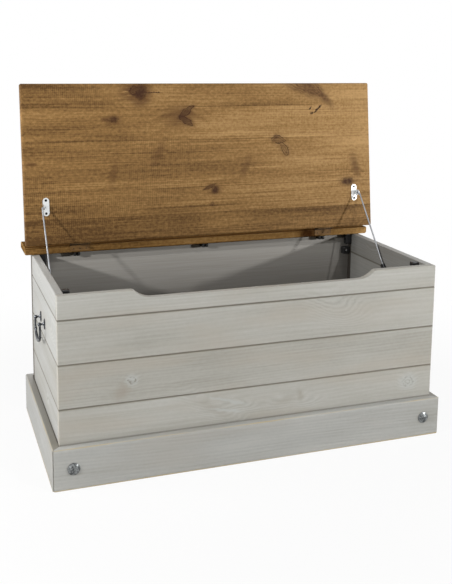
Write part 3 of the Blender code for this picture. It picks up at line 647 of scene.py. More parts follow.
@dataclass(frozen=True)
class GreyWash:
    """Thin grey paint on pine, with the grain faint below it and rubbed edges."""

    name: str
    run: GrainRun
    low: Vector
    high: Vector
    seed: float
    plank_pitch: float = 0.0
    first_joint: float = 0.0
    plank_tone: float = 0.22
    knots: tuple[Knot, ...] = ()
    wear: float = 0.4
    edge_wear: float = 0.55
    edge_width: float = 7 * MM
    inside: tuple[Vector, Vector] | None = None  # the room inside the walls, whose faces get painted shade
    inside_slack: float = 0.6 * MM
    foot: float = 0.0  # height of the plinth's ledge, with a painted contact shadow above it
    foot_line: Span = (4.5 * MM, 2.8 * MM)
    foot_shadow: float = 0.35
    shade_below_top: float = 0.0  # painted shade: loss in tone per metre below the top
    ledge_shade: float = 0.0  # painted shade on the upper edge
    ledge_skin: Span = (0.8 * MM, 0.2 * MM)
    bare_and_shadow_from: float = 0.0  # behind it, the wood is bare and darkened further as painted shadow of the gap at the back
    bare_and_shadow_blur: float = 3 * MM
    bare_and_shadow_share: float = 0.9
    warm_patch: Span = (0.45, 0.70)
    warm_share: float = 0.45
    seam: Span = (3.6 * MM, 0.6 * MM)
    seam_dirt: float = 0.72
    heart_break: Span = (0.35, 0.60)
    stain_share: float = 0.7
    halo_share: float = 0.9
    gloss: float = 0.35
    roughness: float = 0.56
    sheen: float = 0.15
    depth: float = 0.22 * MM
    ring_pitch: float = 8.5 * MM
    mix: WoodMix = WoodMix(
        broad=0.55, rings=0.10, fibre=0.35, mottle=0.25, blotch=0.75, lines=-0.10, swirl=0.27,
        ring_relief=0.4)
    shadowed: Colour = swatch(147, 144, 134)
    paint: Colour = swatch(173, 171, 163)
    pale: Colour = swatch(189, 188, 182)
    warm: Colour = swatch(174, 166, 153)
    halo: Colour = swatch(184, 186, 182)
    stain: Colour = swatch(157, 149, 136)
    heart: Colour = swatch(124, 119, 106)
    # Dirt in the seams, and the painted shade on a ledge.
    dirt_and_shade: Colour = swatch(104, 97, 82)
    wood: Colour = swatch(172, 160, 132)
    # Multiplied onto the faces inside the room, as painted shade.
    inner: Colour = swatch(224, 223, 221)
    # Near-black colour of the bare back strip, partly a painted shadow of the gap at the back.
    bare: Colour = swatch(58, 49, 38)
    # Colour of the painted contact shadow above the plinth.
    gap: Colour = swatch(52, 44, 32)

    def material(self) -> bpy.types.Material:
        """Build the finish.

        Returns:
            The material.
        """
        shader = Shader(bpy.data.materials.new(self.name))
        place = shader.place()
        axes = shader.parts(place)
        along, across, through = self.run.sort(axes)
        row = board = None
        if self.plank_pitch:
            row = (across - self.first_joint) / self.plank_pitch
            board = row.math("FLOOR")
        point = shader.joined(along, across, through)
        grain = Grain(shader, point, board, self.knots, self.seed, self.ring_pitch)
        shade = grain.shade(self.mix)
        # Painted shade: the paint gets darker towards the bottom.
        if self.shade_below_top:
            shade = shade + (across - self.high.z) * self.shade_below_top
        if board is not None:
            lot = shader.node("ShaderNodeTexWhiteNoise", {"noise_dimensions": "1D"}, {"W": board})
            shade = shade + (lot - 0.5) * self.plank_tone
        colour = shader.ramp(shade, self.shadowed, self.paint, self.pale)
        warm = grain.noise(Pattern.WARM, grain.point).smooth(*self.warm_patch)
        colour = shader.mix(warm * self.warm_share, colour, self.warm)
        if self.knots:
            colour = shader.mix(grain.stain * self.stain_share, colour, self.stain)
            colour = shader.mix(grain.halo * self.halo_share, colour, self.halo)
            colour = shader.mix(grain.mottle.smooth(*self.heart_break) * grain.heart, colour, self.heart)
        if row is not None:
            off_joint = (0.5 - (row.math("FRACT") - 0.5).size()) * self.plank_pitch
            colour = shader.mix(off_joint.smooth(*self.seam) * self.seam_dirt, colour, self.dirt_and_shade)
        edges = shader.near_edges(place, self.low, self.high, self.edge_width)
        wear = grain.rubbed(Pattern.PAINT_RUB, edges, self.edge_wear) * self.wear
        colour = self.shaded_and_bare(shader, shader.mix(wear, colour, self.wood), across, axes[1])
        # Painted shade: the faces inside the room are multiplied by the inner grey.
        if self.inside is not None:
            low, high = self.inside
            middle = shader.vector("ABSOLUTE", shader.vector("SUBTRACT", place, (low + high) / 2))
            x, y, _ = shader.parts(shader.vector("SUBTRACT", (high - low) / 2, middle))
            within = (x > -self.inside_slack) * (y > -self.inside_slack)
            colour = shader.mix(within, colour, self.inner, "MULTIPLY")
        roughness = self.roughness - (grain.broad - 0.5) * self.sheen
        return shader.surface(colour, roughness, grain.relief(self.mix), self.depth, self.gloss)

    def shaded_and_bare(self, shader: Shader, colour: Signal, across: Signal, back: Signal) -> Signal:
        """Add the painted contact shadow above a plinth, the painted shade on a ledge, and the bare wood of a
        cut end, darkened further as painted shadow.

        Args:
            shader: the finish's tree.
            colour: the paint's colour.
            across: place across the grain.
            back: place towards the trunk's back.

        Returns:
            The soiled colour.
        """
        # Painted contact shadow along the foot, where the planks meet the plinth.
        if self.foot:
            line = across.smooth(*(self.foot + rise for rise in self.foot_line))
            colour = shader.mix(line * self.foot_shadow, colour, self.gap)
        # Painted shade on the upper edge's ledge.
        if self.ledge_shade:
            top = across.smooth(*(self.high.z - skin for skin in self.ledge_skin))
            colour = shader.mix(top * self.ledge_shade, colour, self.dirt_and_shade)
        # Bare wood at the back edge, darkened as painted shadow of the gap there.
        if self.bare_and_shadow_from:
            bare = back.smooth(self.bare_and_shadow_from, self.bare_and_shadow_from + self.bare_and_shadow_blur)
            colour = shader.mix(bare * self.bare_and_shadow_share, colour, self.bare)
        return colour


@dataclass(frozen=True)
class RawBoard:
    """Unpainted brown-grey board, painted grey on the side that faces into the trunk."""

    name: str
    run: GrainRun
    seed: float
    painted_axis: int | None = None
    painted: Span = (0.0, 0.0)  # where the paint starts and is full, along that axis
    corners: Vector | None = None  # painted shade gathers towards it and below it
    corner_reach: Span = (60 * MM, 5 * MM)
    corner_shade: float = 0.6
    low_reach: Span = (0.0, 160 * MM)
    low_shade: float = 0.55
    show_from: float = 0.3
    show_share: float = 0.5
    roughness: float = 0.68
    gloss: float = 0.3
    depth: float = 0.2 * MM
    ring_pitch: float = 21 * MM
    mix: WoodMix = WoodMix(broad=1.0, rings=0.2, fibre=0.8, dashes=-0.25)
    dark: Colour = swatch(84, 74, 60)
    brown: Colour = swatch(108, 97, 81)
    pale: Colour = swatch(132, 120, 101)
    paint: Colour = swatch(173, 170, 164)
    shade_colour: Colour = swatch(62, 58, 52)

    def material(self) -> bpy.types.Material:
        """Build the finish.

        Returns:
            The material.
        """
        shader = Shader(bpy.data.materials.new(self.name))
        axes = shader.parts(shader.place())
        grain = Grain(shader, shader.joined(*self.run.sort(axes)), None, (), self.seed, self.ring_pitch)
        colour = shader.ramp(grain.shade(self.mix), self.dark, self.brown, self.pale)
        if self.painted_axis is not None:
            coat = axes[self.painted_axis].smooth(*self.painted)
            tint = shader.mix((grain.fibre - self.show_from) * self.show_share, self.paint, colour)
            # Painted shade: the painted side darkens towards the room's corners and towards the bottom.
            if self.corners is not None:
                ends = (self.corners.x - axes[0].size()).smooth(*self.corner_reach) * self.corner_shade
                low = (self.corners.z - axes[2]).smooth(*self.low_reach) * self.low_shade
                tint = shader.mix(ends.most(low), tint, self.shade_colour)
            colour = shader.mix(coat, colour, tint)
        return shader.surface(colour, self.roughness, grain.fibre, self.depth, self.gloss)


@dataclass(frozen=True)
class Metal:
    """Bare or plated metal with tarnish in its hollows and faint tool marks."""

    name: str
    bright: Colour
    tarnish: Colour
    roughness: float
    patina: float
    speckle: float = 240.0
    depth: float = 0.1 * MM
    coarse: float = 0.35
    cloud_share: float = 0.6
    fine_share: float = 0.5
    spots: Span = (0.42, 0.70)
    dull: float = 0.22

    def material(self) -> bpy.types.Material:
        """Build the finish.

        Returns:
            The material.
        """
        shader = Shader(bpy.data.materials.new(self.name))
        place = shader.place()
        cloud = shader.noise(place, (self.speckle * self.coarse,) * 3, seed=3.0, detail=3.0)
        fine = shader.noise(place, (self.speckle,) * 3, seed=8.0, detail=3.0)
        spots = (cloud * self.cloud_share + fine * self.fine_share).smooth(*self.spots)
        colour = shader.mix(spots * self.patina, self.bright, self.tarnish)
        return shader.surface(colour, spots * self.dull + self.roughness, fine, self.depth, metallic=1.0)


@dataclass(frozen=True)
class HingeLacquer:
    """Brown lacquer on hinge leaves, worn to dark metal at the knuckles."""

    axis: Vector
    knuckle: float
    name: str = "hinge_lacquer"
    worn_reach: float = 1.3
    worn_share: float = 0.9
    cloud: Span = (0.35, 0.75)
    roughness: float = 0.45
    dull: float = 0.2
    gloss: float = 0.3
    depth: float = 0.05 * MM
    lacquer: Colour = swatch(132, 99, 58)
    stained: Colour = swatch(102, 75, 44)
    bare: Colour = swatch(38, 32, 26)

    def material(self) -> bpy.types.Material:
        """Build the finish.

        Returns:
            The material.
        """
        shader = Shader(bpy.data.materials.new(self.name))
        place = shader.place()
        across = shader.vector("MULTIPLY", shader.vector("SUBTRACT", place, self.axis), (0, 1, 1))
        off_axis = shader.vector("LENGTH", across, out="Value")
        cloud = shader.noise(place, (60, 180, 180), seed=4.0, detail=3.0)
        fine = shader.noise(place, (500, 500, 500), seed=9.0)
        colour = shader.mix(cloud.smooth(*self.cloud), self.lacquer, self.stained)
        worn = off_axis.smooth(self.knuckle * self.worn_reach, self.knuckle) * self.worn_share
        colour = shader.mix(worn, colour, self.bare)
        return shader.surface(colour, cloud * self.dull + self.roughness, fine, self.depth, self.gloss)


@dataclass(frozen=True)
class BlackPlastic:
    """Moulded black plastic with a fine sparked texture."""

    name: str = "moulded_black_plastic"
    black: Colour = swatch(20, 20, 21)
    dusty: Colour = swatch(46, 45, 44)
    gloss: float = 0.5
    dust: Span = (0.48, 0.75)
    dust_share: float = 0.6
    roughness: float = 0.42
    dull: float = 0.15
    depth: float = 0.06 * MM

    def material(self) -> bpy.types.Material:
        """Build the finish.

        Returns:
            The material.
        """
        shader = Shader(bpy.data.materials.new(self.name))
        place = shader.place()
        dust = shader.noise(place, (90, 90, 90), seed=2.0, detail=3.0).smooth(*self.dust)
        spark = shader.noise(place, (1900, 1900, 1900), seed=5.0, detail=1.0)
        colour = shader.mix(dust * self.dust_share, self.black, self.dusty)
        return shader.surface(colour, dust * self.dull + self.roughness, spark, self.depth, self.gloss)


class Bench:
    """Hand tools: Blender's operators, used on one piece at a time."""

    UPWARD = 0.9

    @staticmethod
    def clear() -> None:
        """Deselect everything."""
        bpy.ops.object.select_all(action="DESELECT")

    @staticmethod
    def take(*pieces: bpy.types.Object) -> None:
        """Select some pieces alone.

        Args:
            *pieces: the pieces; the first one becomes active.
        """
        Bench.clear()
        for piece in pieces:
            piece.select_set(True)
        bpy.context.view_layer.objects.active = pieces[0]

    @staticmethod
    def start(kind: str, name: str, **sizes: Any) -> bpy.types.Object:
        """Add a primitive.

        Args:
            kind: the primitive, as its operator names it.
            name: the piece's name.
            **sizes: the operator's values.

        Returns:
            The new piece.
        """
        Bench.clear()
        getattr(bpy.ops.mesh, f"primitive_{kind}_add")(**sizes)
        piece = bpy.context.active_object
        piece.name = name
        return piece

    @staticmethod
    def copied(pattern: bpy.types.Object, name: str) -> bpy.types.Object:
        """Copy a piece, with a mesh of its own.

        Args:
            pattern: the piece.
            name: the copy's name.

        Returns:
            The copy.
        """
        copy = pattern.copy()
        copy.data = pattern.data.copy()
        copy.name = name
        bpy.context.scene.collection.objects.link(copy)
        return copy

    @staticmethod
    def scrap(*pieces: bpy.types.Object) -> None:
        """Remove pieces that have done their work."""
        for piece in pieces:
            bpy.data.objects.remove(piece)

    @staticmethod
    @contextmanager
    def editing(piece: bpy.types.Object) -> Iterator[None]:
        """Edit mode on a piece, with everything selected.

        Args:
            piece: the piece.

        Returns:
            The context.
        """
        Bench.take(piece)
        bpy.ops.object.mode_set(mode="EDIT")
        bpy.ops.mesh.select_all(action="SELECT")
        try:
            yield
        finally:
            bpy.ops.object.mode_set(mode="OBJECT")

    @staticmethod
    def pick_top(piece: bpy.types.Object) -> None:
        """Select the faces that look up, in edit mode.

        Args:
            piece: the piece.
        """
        bpy.ops.mesh.select_mode(type="FACE")
        bpy.ops.mesh.select_all(action="DESELECT")
        mesh = bmesh.from_edit_mesh(piece.data)
        for face in mesh.faces:
            face.select_set(face.normal.z > Bench.UPWARD)
        bmesh.update_edit_mesh(piece.data)

    @staticmethod
    def modify(piece: bpy.types.Object, kind: str, **settings: Any) -> None:
        """Add a modifier and apply it.

        Args:
            piece: the piece.
            kind: the modifier's type.
            **settings: its properties.
        """
        Bench.take(piece)
        modifier = piece.modifiers.new(kind.lower(), kind)
        for key, value in settings.items():
            setattr(modifier, key, value)
        bpy.ops.object.modifier_apply(modifier=modifier.name)

    @staticmethod
    def cut(piece: bpy.types.Object, tool: bpy.types.Object, way: str = "DIFFERENCE") -> None:
        """Cut a piece by a tool, or keep what both share, and scrap the tool."""
        Bench.modify(piece, "BOOLEAN", object=tool, operation=way, solver="EXACT")
        Bench.scrap(tool)

    @staticmethod
    def heal(piece: bpy.types.Object, gap: float = 0.005 * MM) -> None:
        """Merge a piece's doubles and turn its faces outwards.

        Args:
            piece: the piece.
            gap: how far apart doubles may be.
        """
        with Bench.editing(piece):
            bpy.ops.mesh.remove_doubles(threshold=gap)
            bpy.ops.mesh.normals_make_consistent(inside=False)

    @staticmethod
    def smooth(piece: bpy.types.Object, degrees: float = 35.0) -> None:
        """Shade a piece smooth, apart from its sharp edges."""
        Bench.take(piece)
        bpy.ops.object.shade_smooth_by_angle(angle=math.radians(degrees))

    @staticmethod
    def settle(piece: bpy.types.Object, place: Matrix) -> None:
        """Move a piece and put its place into its mesh.

        Args:
            piece: the piece.
            place: where it goes.
        """
        Bench.take(piece)
        piece.matrix_world = place
        bpy.context.view_layer.update()
        bpy.ops.object.transform_apply(location=True, rotation=True, scale=True)

    @staticmethod
    def turned(name: str, profile: Sequence[Span], sides: int) -> bpy.types.Object:
        """A piece turned about the upright axis.

        Args:
            name: the piece's name.
            profile: radius and height, from one end on the axis to the other.
            sides: facets round the axis.

        Returns:
            The closed piece.
        """
        piece = Bench.start("plane", name, size=MM)
        with Bench.editing(piece):
            bpy.ops.mesh.select_mode(type="VERT")
            bpy.ops.mesh.select_all(action="SELECT")
            bpy.ops.mesh.merge(type="CENTER")
            radius, height = profile[0]
            bpy.ops.transform.translate(value=(radius, 0, height))
            for (r0, h0), (r1, h1) in zip(profile, profile[1:]):
                bpy.ops.mesh.extrude_vertices_move(TRANSFORM_OT_translate={"value": (r1 - r0, 0, h1 - h0)})
            bpy.ops.mesh.select_all(action="SELECT")
            bpy.ops.mesh.spin(steps=sides, angle=2 * math.pi, center=(0, 0, 0), axis=(0, 0, 1))
        Bench.heal(piece)
        Bench.smooth(piece)
        return piece

    @staticmethod
    def wire(name: str, path: Sequence[Sequence[float]], radii: Sequence[float]) -> bpy.types.Object:
        """A round bar along a path.

        Args:
            name: the piece's name.
            path: the points that it follows.
            radii: its radius at each point.

        Returns:
            The closed piece.
        """
        Bench.clear()
        bpy.ops.curve.primitive_bezier_curve_add()
        piece = bpy.context.active_object
        piece.name = name
        curve = piece.data
        curve.splines.clear()
        curve.dimensions = "3D"
        curve.bevel_depth = 1.0
        curve.bevel_resolution = 6
        curve.use_fill_caps = True
        spline = curve.splines.new("POLY")
        spline.points.add(len(path) - 1)
        for point, place, radius in zip(spline.points, path, radii):
            point.co = (*place, 1)
            point.radius = radius
        bpy.ops.object.convert(target="MESH")
        Bench.heal(piece)
        Bench.smooth(piece)
        return piece


@dataclass
class Finishes:
    """The metal and plastic finishes that several sub-assemblies share."""

    pewter: bpy.types.Material
    blackened: bpy.types.Material
    zinc: bpy.types.Material
    steel: bpy.types.Material
    bronze: bpy.types.Material
    black: bpy.types.Material
    screw: bpy.types.Material

    @classmethod
    def mixed(cls) -> Finishes:
        """Build the shared finishes.

        Returns:
            The finishes.
        """
        # In the order of the fields.
        finishes = (
            Metal("antique_pewter", swatch(138, 141, 141), swatch(46, 48, 49), 0.30, 0.9, speckle=420.0),
            Metal("blackened_pewter", swatch(104, 106, 110), swatch(13, 13, 13), 0.24, 0.93),
            Metal("zinc_plate", swatch(226, 228, 227), swatch(190, 192, 192), 0.32, 0.5),
            Metal("drawn_steel", swatch(156, 158, 161), swatch(112, 113, 116), 0.30, 0.5, 90.0, 0.008 * MM),
            Metal("dark_bronze", swatch(96, 84, 66), swatch(46, 40, 32), 0.36, 0.8),
            BlackPlastic(),
            BlackPlastic("black_screws", swatch(12, 12, 13), swatch(24, 24, 24), gloss=0.08),
        )
        return cls(*(finish.material() for finish in finishes))


@dataclass
class ScrewBox:
    """Cross-headed screws: one is modelled with a radius of one, and the others are copies."""

    height: float = 0.55
    steps: tuple[Span, ...] = ((0.22, 0.10), (0.30, 0.06))
    slot_length: float = 1.15
    slot_width: float = 0.26
    slot_depth: float = 0.32
    first_turn: float = 0.5
    next_turn: float = 0.9
    facets: int = 24

    def __post_init__(self) -> None:
        """Model the pattern: a head with a stepped crown and a cross in it."""
        self.pattern = Bench.start("cylinder", "screw_pattern", vertices=self.facets, radius=1.0,
                                   depth=self.height, location=(0, 0, self.height / 2))
        with Bench.editing(self.pattern):
            Bench.pick_top(self.pattern)
            for inset, rise in self.steps:
                bpy.ops.mesh.inset(thickness=inset, depth=rise)
        crown = Matrix.Translation((0, 0, self.height + sum(rise for _, rise in self.steps)))
        slot = Matrix.Diagonal((self.slot_length, self.slot_width, 2 * self.slot_depth, 1))
        for turn in (0, math.pi / 2):
            cutter = Bench.start("cube", "screw_cutter", size=1.0)
            Bench.settle(cutter, crown @ Matrix.Rotation(turn, 4, "Z") @ slot)
            Bench.cut(self.pattern, cutter)
        Bench.smooth(self.pattern, degrees=25)

    def drive(self, name: str, radius: float, places: Sequence[tuple[Vector, Vector]]) -> bpy.types.Object:
        """Copies of the screw at some places, as one piece.

        Args:
            name: the piece's name.
            radius: the head's radius.
            places: for each screw, where its head starts and which way it looks.

        Returns:
            The piece.
        """
        copies = []
        for number, (seat, way) in enumerate(places):
            copy = Bench.copied(self.pattern, name)
            turn = Matrix.Rotation(self.first_turn + self.next_turn * number, 4, "Z")
            turn = way.to_track_quat("Z", "Y").to_matrix().to_4x4() @ turn
            Bench.settle(copy, Matrix.Translation(seat) @ turn @ Matrix.Scale(radius, 4))
            copies.append(copy)
        Bench.take(*copies)
        if len(copies) > 1:
            bpy.ops.object.join()
        return copies[0]

    def empty(self) -> None:
        """Remove the pattern."""
        Bench.scrap(self.pattern)


@dataclass
class Assembly:
    """A group of the trunk's pieces, with the finishes and the screws that it takes."""

    shop: Finishes
    screws: ScrewBox
    done: list[str] = field(default_factory=list, init=False)

    def build(self) -> None:
        """Model the group's new pieces and dress all of them."""
        raise NotImplementedError

    def dress(self, material: bpy.types.Material, *nodes: str) -> None:
        """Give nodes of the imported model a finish.

        Args:
            material: the finish.
            *nodes: the nodes' names.
        """
        for node in nodes:
            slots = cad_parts[node].data.materials
            slots.clear()
            slots.append(material)
            self.done.append(f"{node} wears {material.name}")

    def add(self, piece: bpy.types.Object, body: str, slot: str, material: bpy.types.Material,
            *replaced: str) -> None:
        """Put a new piece on the trunk.

        Args:
            piece: the piece, in place.
            body: the body that it moves with.
            slot: not used.
            material: its finish.
            *replaced: the nodes that it stands for.
        """
        piece.data.materials.clear()
        piece.data.materials.append(material)
        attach(piece, body)
        if replaced:
            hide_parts(*replaced)
        self.done.append(f"{piece.name} rides on {body}")

    @staticmethod
    def together(*nodes: str) -> tuple[Vector, Vector]:
        """The box round some nodes.

        Args:
            *nodes: the nodes' names.

        Returns:
            Its lowest and its highest corner.
        """
        boxes = [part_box(node) for node in nodes]
        low = Vector(min(box[0][i] for box in boxes) for i in range(3))
        high = Vector(max(box[1][i] for box in boxes) for i in range(3))
        return low, high


@dataclass
class Carcass(Assembly):
    """The plank body, its plinth, and the panels behind and below."""

    plank_pitch: float = 100 * MM
    lowest_joint: float = 77 * MM
    seed: float = 4.0
    # Depth of the bare back strip of the ends, which is partly painted shadow.
    cut_end_and_shadow: float = 20 * MM
    coat: Span = (3 * MM, 1 * MM)  # depths at which the paint inside starts and is full
    front_knots: tuple[Knot, ...] = (
        Knot(-0.302, 0.226, 0.0090, 0.0080, 0, KnotKind.PALE_EYE),
        Knot(-0.324, 0.205, 0.024, 0.016, 55, KnotKind.SMUDGE),
        Knot(-0.110, 0.135, 0.056, 0.012, -32, KnotKind.TRACE),
        Knot(-0.078, 0.151, 0.030, 0.0022, -17, KnotKind.STREAK),
        Knot(-0.082, 0.128, 0.024, 0.0020, -11, KnotKind.STREAK),
        Knot(-0.050, 0.137, 0.030, 0.008, -14, KnotKind.SWIRL),
        Knot(0.106, 0.142, 0.009, 0.016, 20, KnotKind.SMUDGE),
        Knot(0.070, 0.134, 0.030, 0.010, 10, KnotKind.TRACE),
        Knot(0.122, 0.122, 0.020, 0.007, 0, KnotKind.SWIRL),
        Knot(0.400, 0.140, 0.0150, 0.0125, 0, KnotKind.PALE_RING),
        Knot(0.200, 0.345, 0.040, 0.020, -20, KnotKind.SWIRL),
    )
    end_knots: tuple[Knot, ...] = (
        Knot(0.118, 0.228, 0.010, 0.007, 0, KnotKind.PALE_EYE),
        Knot(-0.120, 0.330, 0.030, 0.015, 12, KnotKind.SWIRL),
        Knot(-0.060, 0.140, 0.009, 0.007, 0, KnotKind.PALE_EYE),
        Knot(0.060, 0.405, 0.022, 0.009, 0, KnotKind.SWIRL),
    )

    def build(self) -> None:
        """Dress the planks, the plinth and the panels."""
        front, left, right = (
            [f"{wall}_plank_{number}" for number in range(1, 5)] for wall in ("front", "left", "right"))
        low, high = self.together(*front, *left, *right)
        room_low = Vector((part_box(left[0])[1].x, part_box(front[0])[1].y, low.z))
        room_high = Vector((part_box(right[0])[0].x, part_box("back_panel")[0].y, high.z))
        planks = {"low": low, "high": high, "plank_pitch": self.plank_pitch, "first_joint": self.lowest_joint,
                  "inside": (room_low, room_high), "foot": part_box("plinth_front")[1].z}
        wide = GreyWash("grey_wash_front", GrainRun.WIDTH_UPRIGHT, seed=self.seed, knots=self.front_knots,
                        **planks)
        # The ends' inner faces get a darker painted shade than the front's.
        deep = GreyWash("grey_wash_ends", GrainRun.DEPTH_UPRIGHT, seed=self.seed + 20, knots=self.end_knots,
                        paint=swatch(171, 171, 168), warm=swatch(172, 168, 160), inner=swatch(200, 199, 197),
                        foot_shadow=0.95, shade_below_top=0.8, bare_and_shadow_from=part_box(left[0])[1].y - self.cut_end_and_shadow, **planks)
        self.dress(wide.material(), *front)
        self.dress(deep.material(), *left, *right)
        self.dress_plinth()
        self.dress_panels(room_high)

    def dress_plinth(self) -> None:
        """Paint the plinth's boards, with more wear, with the ends' grey a darker copy of the front's as
        painted shade, and with painted shade on the ends' ledges.
        """
        low, high = self.together("plinth_front", "plinth_left", "plinth_right", "plinth_back")
        runs = (
            ("front", GrainRun.WIDTH_UPRIGHT, swatch(171, 171, 167), 0.0, ("plinth_front", "plinth_back")),
            # The ends' grey is the front's grey darkened, as painted shade.
            ("ends", GrainRun.DEPTH_UPRIGHT, swatch(164, 164, 161), 0.5, ("plinth_left", "plinth_right")),
        )
        for name, run, grey, ledge_shade, nodes in runs:
            foot = GreyWash(f"grey_wash_plinth_{name}", run, low, high, self.seed + 40, wear=0.9,
                            edge_wear=0.82, ledge_shade=ledge_shade, paint=grey, warm=swatch(172, 168, 160),
                            wood=swatch(180, 162, 124))
            self.dress(foot.material(), *nodes)

    def dress_panels(self, room_high: Vector) -> None:
        """Paint the inner sides of the back and the base, and leave the battens raw.

        Args:
            room_high: the highest corner of the room inside the walls.
        """
        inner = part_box("back_panel")[0].y
        painted = tuple(inner + skin for skin in self.coat)
        back = RawBoard("back_board", GrainRun.WIDTH_UPRIGHT, 60.0, 1, painted, room_high)
        self.dress(back.material(), "back_panel")
        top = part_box("base_panel")[1].z
        painted = tuple(top - skin for skin in self.coat)
        base = RawBoard("base_board", GrainRun.WIDTH_FLAT, 70.0, 2, painted)
        self.dress(base.material(), "base_panel")
        batten = RawBoard("batten_board", GrainRun.WIDTH_FLAT, 80.0)
        self.dress(batten.material(), "base_batten_front", "base_batten_back")


@dataclass(frozen=True)
class LidSwing:
    """Where the lid turns, and how far it stands open."""

    axis: Vector = Vector((0, 0.16115, 0.4575))
    opened: float = math.radians(97)

    def stand(self) -> Matrix:
        """The open lid's frame."""
        return Matrix.Translation(self.axis) @ Matrix.Rotation(-self.opened, 4, "X")


@dataclass
class Lid(Assembly):
    """The lid panel, the fixed rail behind it, and the hinges between them."""

    swing: LidSwing = LidSwing()
    panel_low: Vector = Vector((-0.485, -0.406, -0.025))
    panel_high: Vector = Vector((0.485, -0.002, -0.005))
    outer_skin: float = 1.5 * MM
    joints: tuple[float, ...] = (-0.345, -0.258, -0.132, -0.063)
    tones: tuple[float, ...] = (-0.05, 0.00, -0.05, -0.08, -0.25)
    # Reach of the painted shadow that the open lid casts on the rail's top.
    lid_shadow_depth: float = 24 * MM
    hinge_place: float = 345 * MM
    knuckle: float = 4.0 * MM
    leaf_thick: float = 1.0 * MM
    screw_radius: float = 1.75 * MM
    screw_pitch: float = 16 * MM
    screw_drop: float = 14 * MM
    knots: tuple[Knot, ...] = (
        Knot(-0.196, -0.384, 0.040, 0.026, 0, KnotKind.FAN),
        Knot(-0.180, -0.377, 0.030, 0.030, 0, KnotKind.SMUDGE),
        Knot(-0.178, -0.384, 0.015, 0.020, 20, KnotKind.EYE),
        Knot(-0.196, -0.387, 0.015, 0.012, -15, KnotKind.SPIKE),
        Knot(-0.146, -0.382, 0.030, 0.0017, 0, KnotKind.CRACK),
        Knot(-0.252, -0.313, 0.0125, 0.0075),
        Knot(-0.272, -0.313, 0.012, 0.005, 0, KnotKind.SMUDGE),
        Knot(-0.072, -0.320, 0.040, 0.024, 0, KnotKind.TRACE),
        Knot(-0.056, -0.332, 0.026, 0.0088, -36, KnotKind.SPIKE),
        Knot(-0.058, -0.308, 0.024, 0.0082, 36, KnotKind.SPIKE),
        Knot(0.300, -0.394, 0.056, 0.021, 30, KnotKind.SMUDGE),
        Knot(0.342, -0.370, 0.040, 0.011, 44, KnotKind.SMUDGE),
        Knot(0.284, -0.390, 0.070, 0.016, 22, KnotKind.FAN),
        Knot(0.312, -0.388, 0.064, 0.014, 38, KnotKind.FAN),
        Knot(0.334, -0.382, 0.060, 0.013, 50, KnotKind.FAN),
        Knot(0.324, -0.334, 0.022, 0.0030, -40, KnotKind.CRACK),
        Knot(0.306, -0.322, 0.005, 0.0042, 0, KnotKind.CRACK),
        Knot(0.304, -0.338, 0.009, 0.0026, -48, KnotKind.CRACK),
        Knot(0.204, -0.251, 0.022, 0.0115, 8, KnotKind.RING),
        Knot(0.222, -0.226, 0.022, 0.0105, 60, KnotKind.RING),
        Knot(0.198, -0.259, 0.008, 0.0060, 0, KnotKind.SMUDGE),
        Knot(0.106, -0.181, 0.028, 0.0110, -65, KnotKind.CLOUD),
        Knot(0.017, -0.123, 0.0115, 0.0100, 0, KnotKind.EYE),
        Knot(0.002, -0.131, 0.018, 0.0040, -24, KnotKind.SPIKE),
        Knot(0.009, -0.085, 0.006, 0.005, 0, KnotKind.RING),
        Knot(0.413, -0.130, 0.017, 0.010, 0, KnotKind.EYE),
        Knot(0.438, -0.172, 0.034, 0.011, 75, KnotKind.TRACE),
        Knot(-0.463, -0.206, 0.014, 0.005, 0, KnotKind.SMUDGE),
        Knot(-0.136, -0.224, 0.034, 0.012, -64, KnotKind.CLOUD),
        Knot(-0.257, -0.174, 0.036, 0.011, -76, KnotKind.CLOUD),
    )

    def build(self) -> None:
        """Dress the lid, the rail and the hinges, and drive the hinge screws."""
        panel = WaxedPine("waxed_pine_lid", GrainRun.WIDTH_FLAT, self.panel_low, self.panel_high, 5.0,
                          self.joints, self.tones, self.knots, drift=0.48,
                          turned_face=self.panel_high.z - self.outer_skin,
                          frame_place=tuple(self.swing.axis), frame_turn=-self.swing.opened)
        self.dress(panel.material(), "lid_panel")
        low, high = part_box("hinge_rail")
        chips = (Knot(0.300, low.y + 4 * MM, 0.022, 0.010), Knot(-0.160, low.y + 50 * MM, 0.012, 0.008))
        # The rail's stronger edge wear is partly real wear and partly a painted highlight along its lower
        # front edge.
        rail = WaxedPine("waxed_pine_rail", GrainRun.WIDTH_FLAT, low, high, 31.0, tones=(-0.03,), knots=chips,
                         drift=0.30, edge_wear=0.72, gloss=0.0, lid_shadow_depth=self.lid_shadow_depth)
        self.dress(rail.material(), "hinge_rail")
        lacquer = HingeLacquer(self.swing.axis, self.knuckle).material()
        fixed = Matrix.Translation(self.swing.axis)
        for side, sign in SIDES:
            self.dress(lacquer, f"hinge_{side}_rail_leaf", f"hinge_{side}_lid_leaf")
            self.dress(self.shop.bronze, f"hinge_{side}_pin")
            self.fix_leaf(f"hinge_{side}_rail_screws", "carcass", fixed, sign, 1)
            self.fix_leaf(f"hinge_{side}_lid_screws", "lid", self.swing.stand(), sign, -1)

    def fix_leaf(self, name: str, body: str, stand: Matrix, sign: int, facing: int) -> None:
        """Drive the three screws of a hinge leaf.

        Args:
            name: the piece's name.
            body: the body that it moves with.
            stand: the frame of the rail or of the lid, on the hinges' axis.
            sign: the side's sign along X.
            facing: one for the rail's leaf, minus one for the lid's.
        """
        way = stand.to_3x3() @ Vector((0, -facing, 0))
        places = []
        for step in (-1, 0, 1):
            x = sign * self.hinge_place + step * self.screw_pitch
            places.append((stand @ Vector((x, facing * self.leaf_thick, -self.screw_drop)), way))
        self.add(self.screws.drive(name, self.screw_radius, places), body, "bronze", self.shop.bronze)


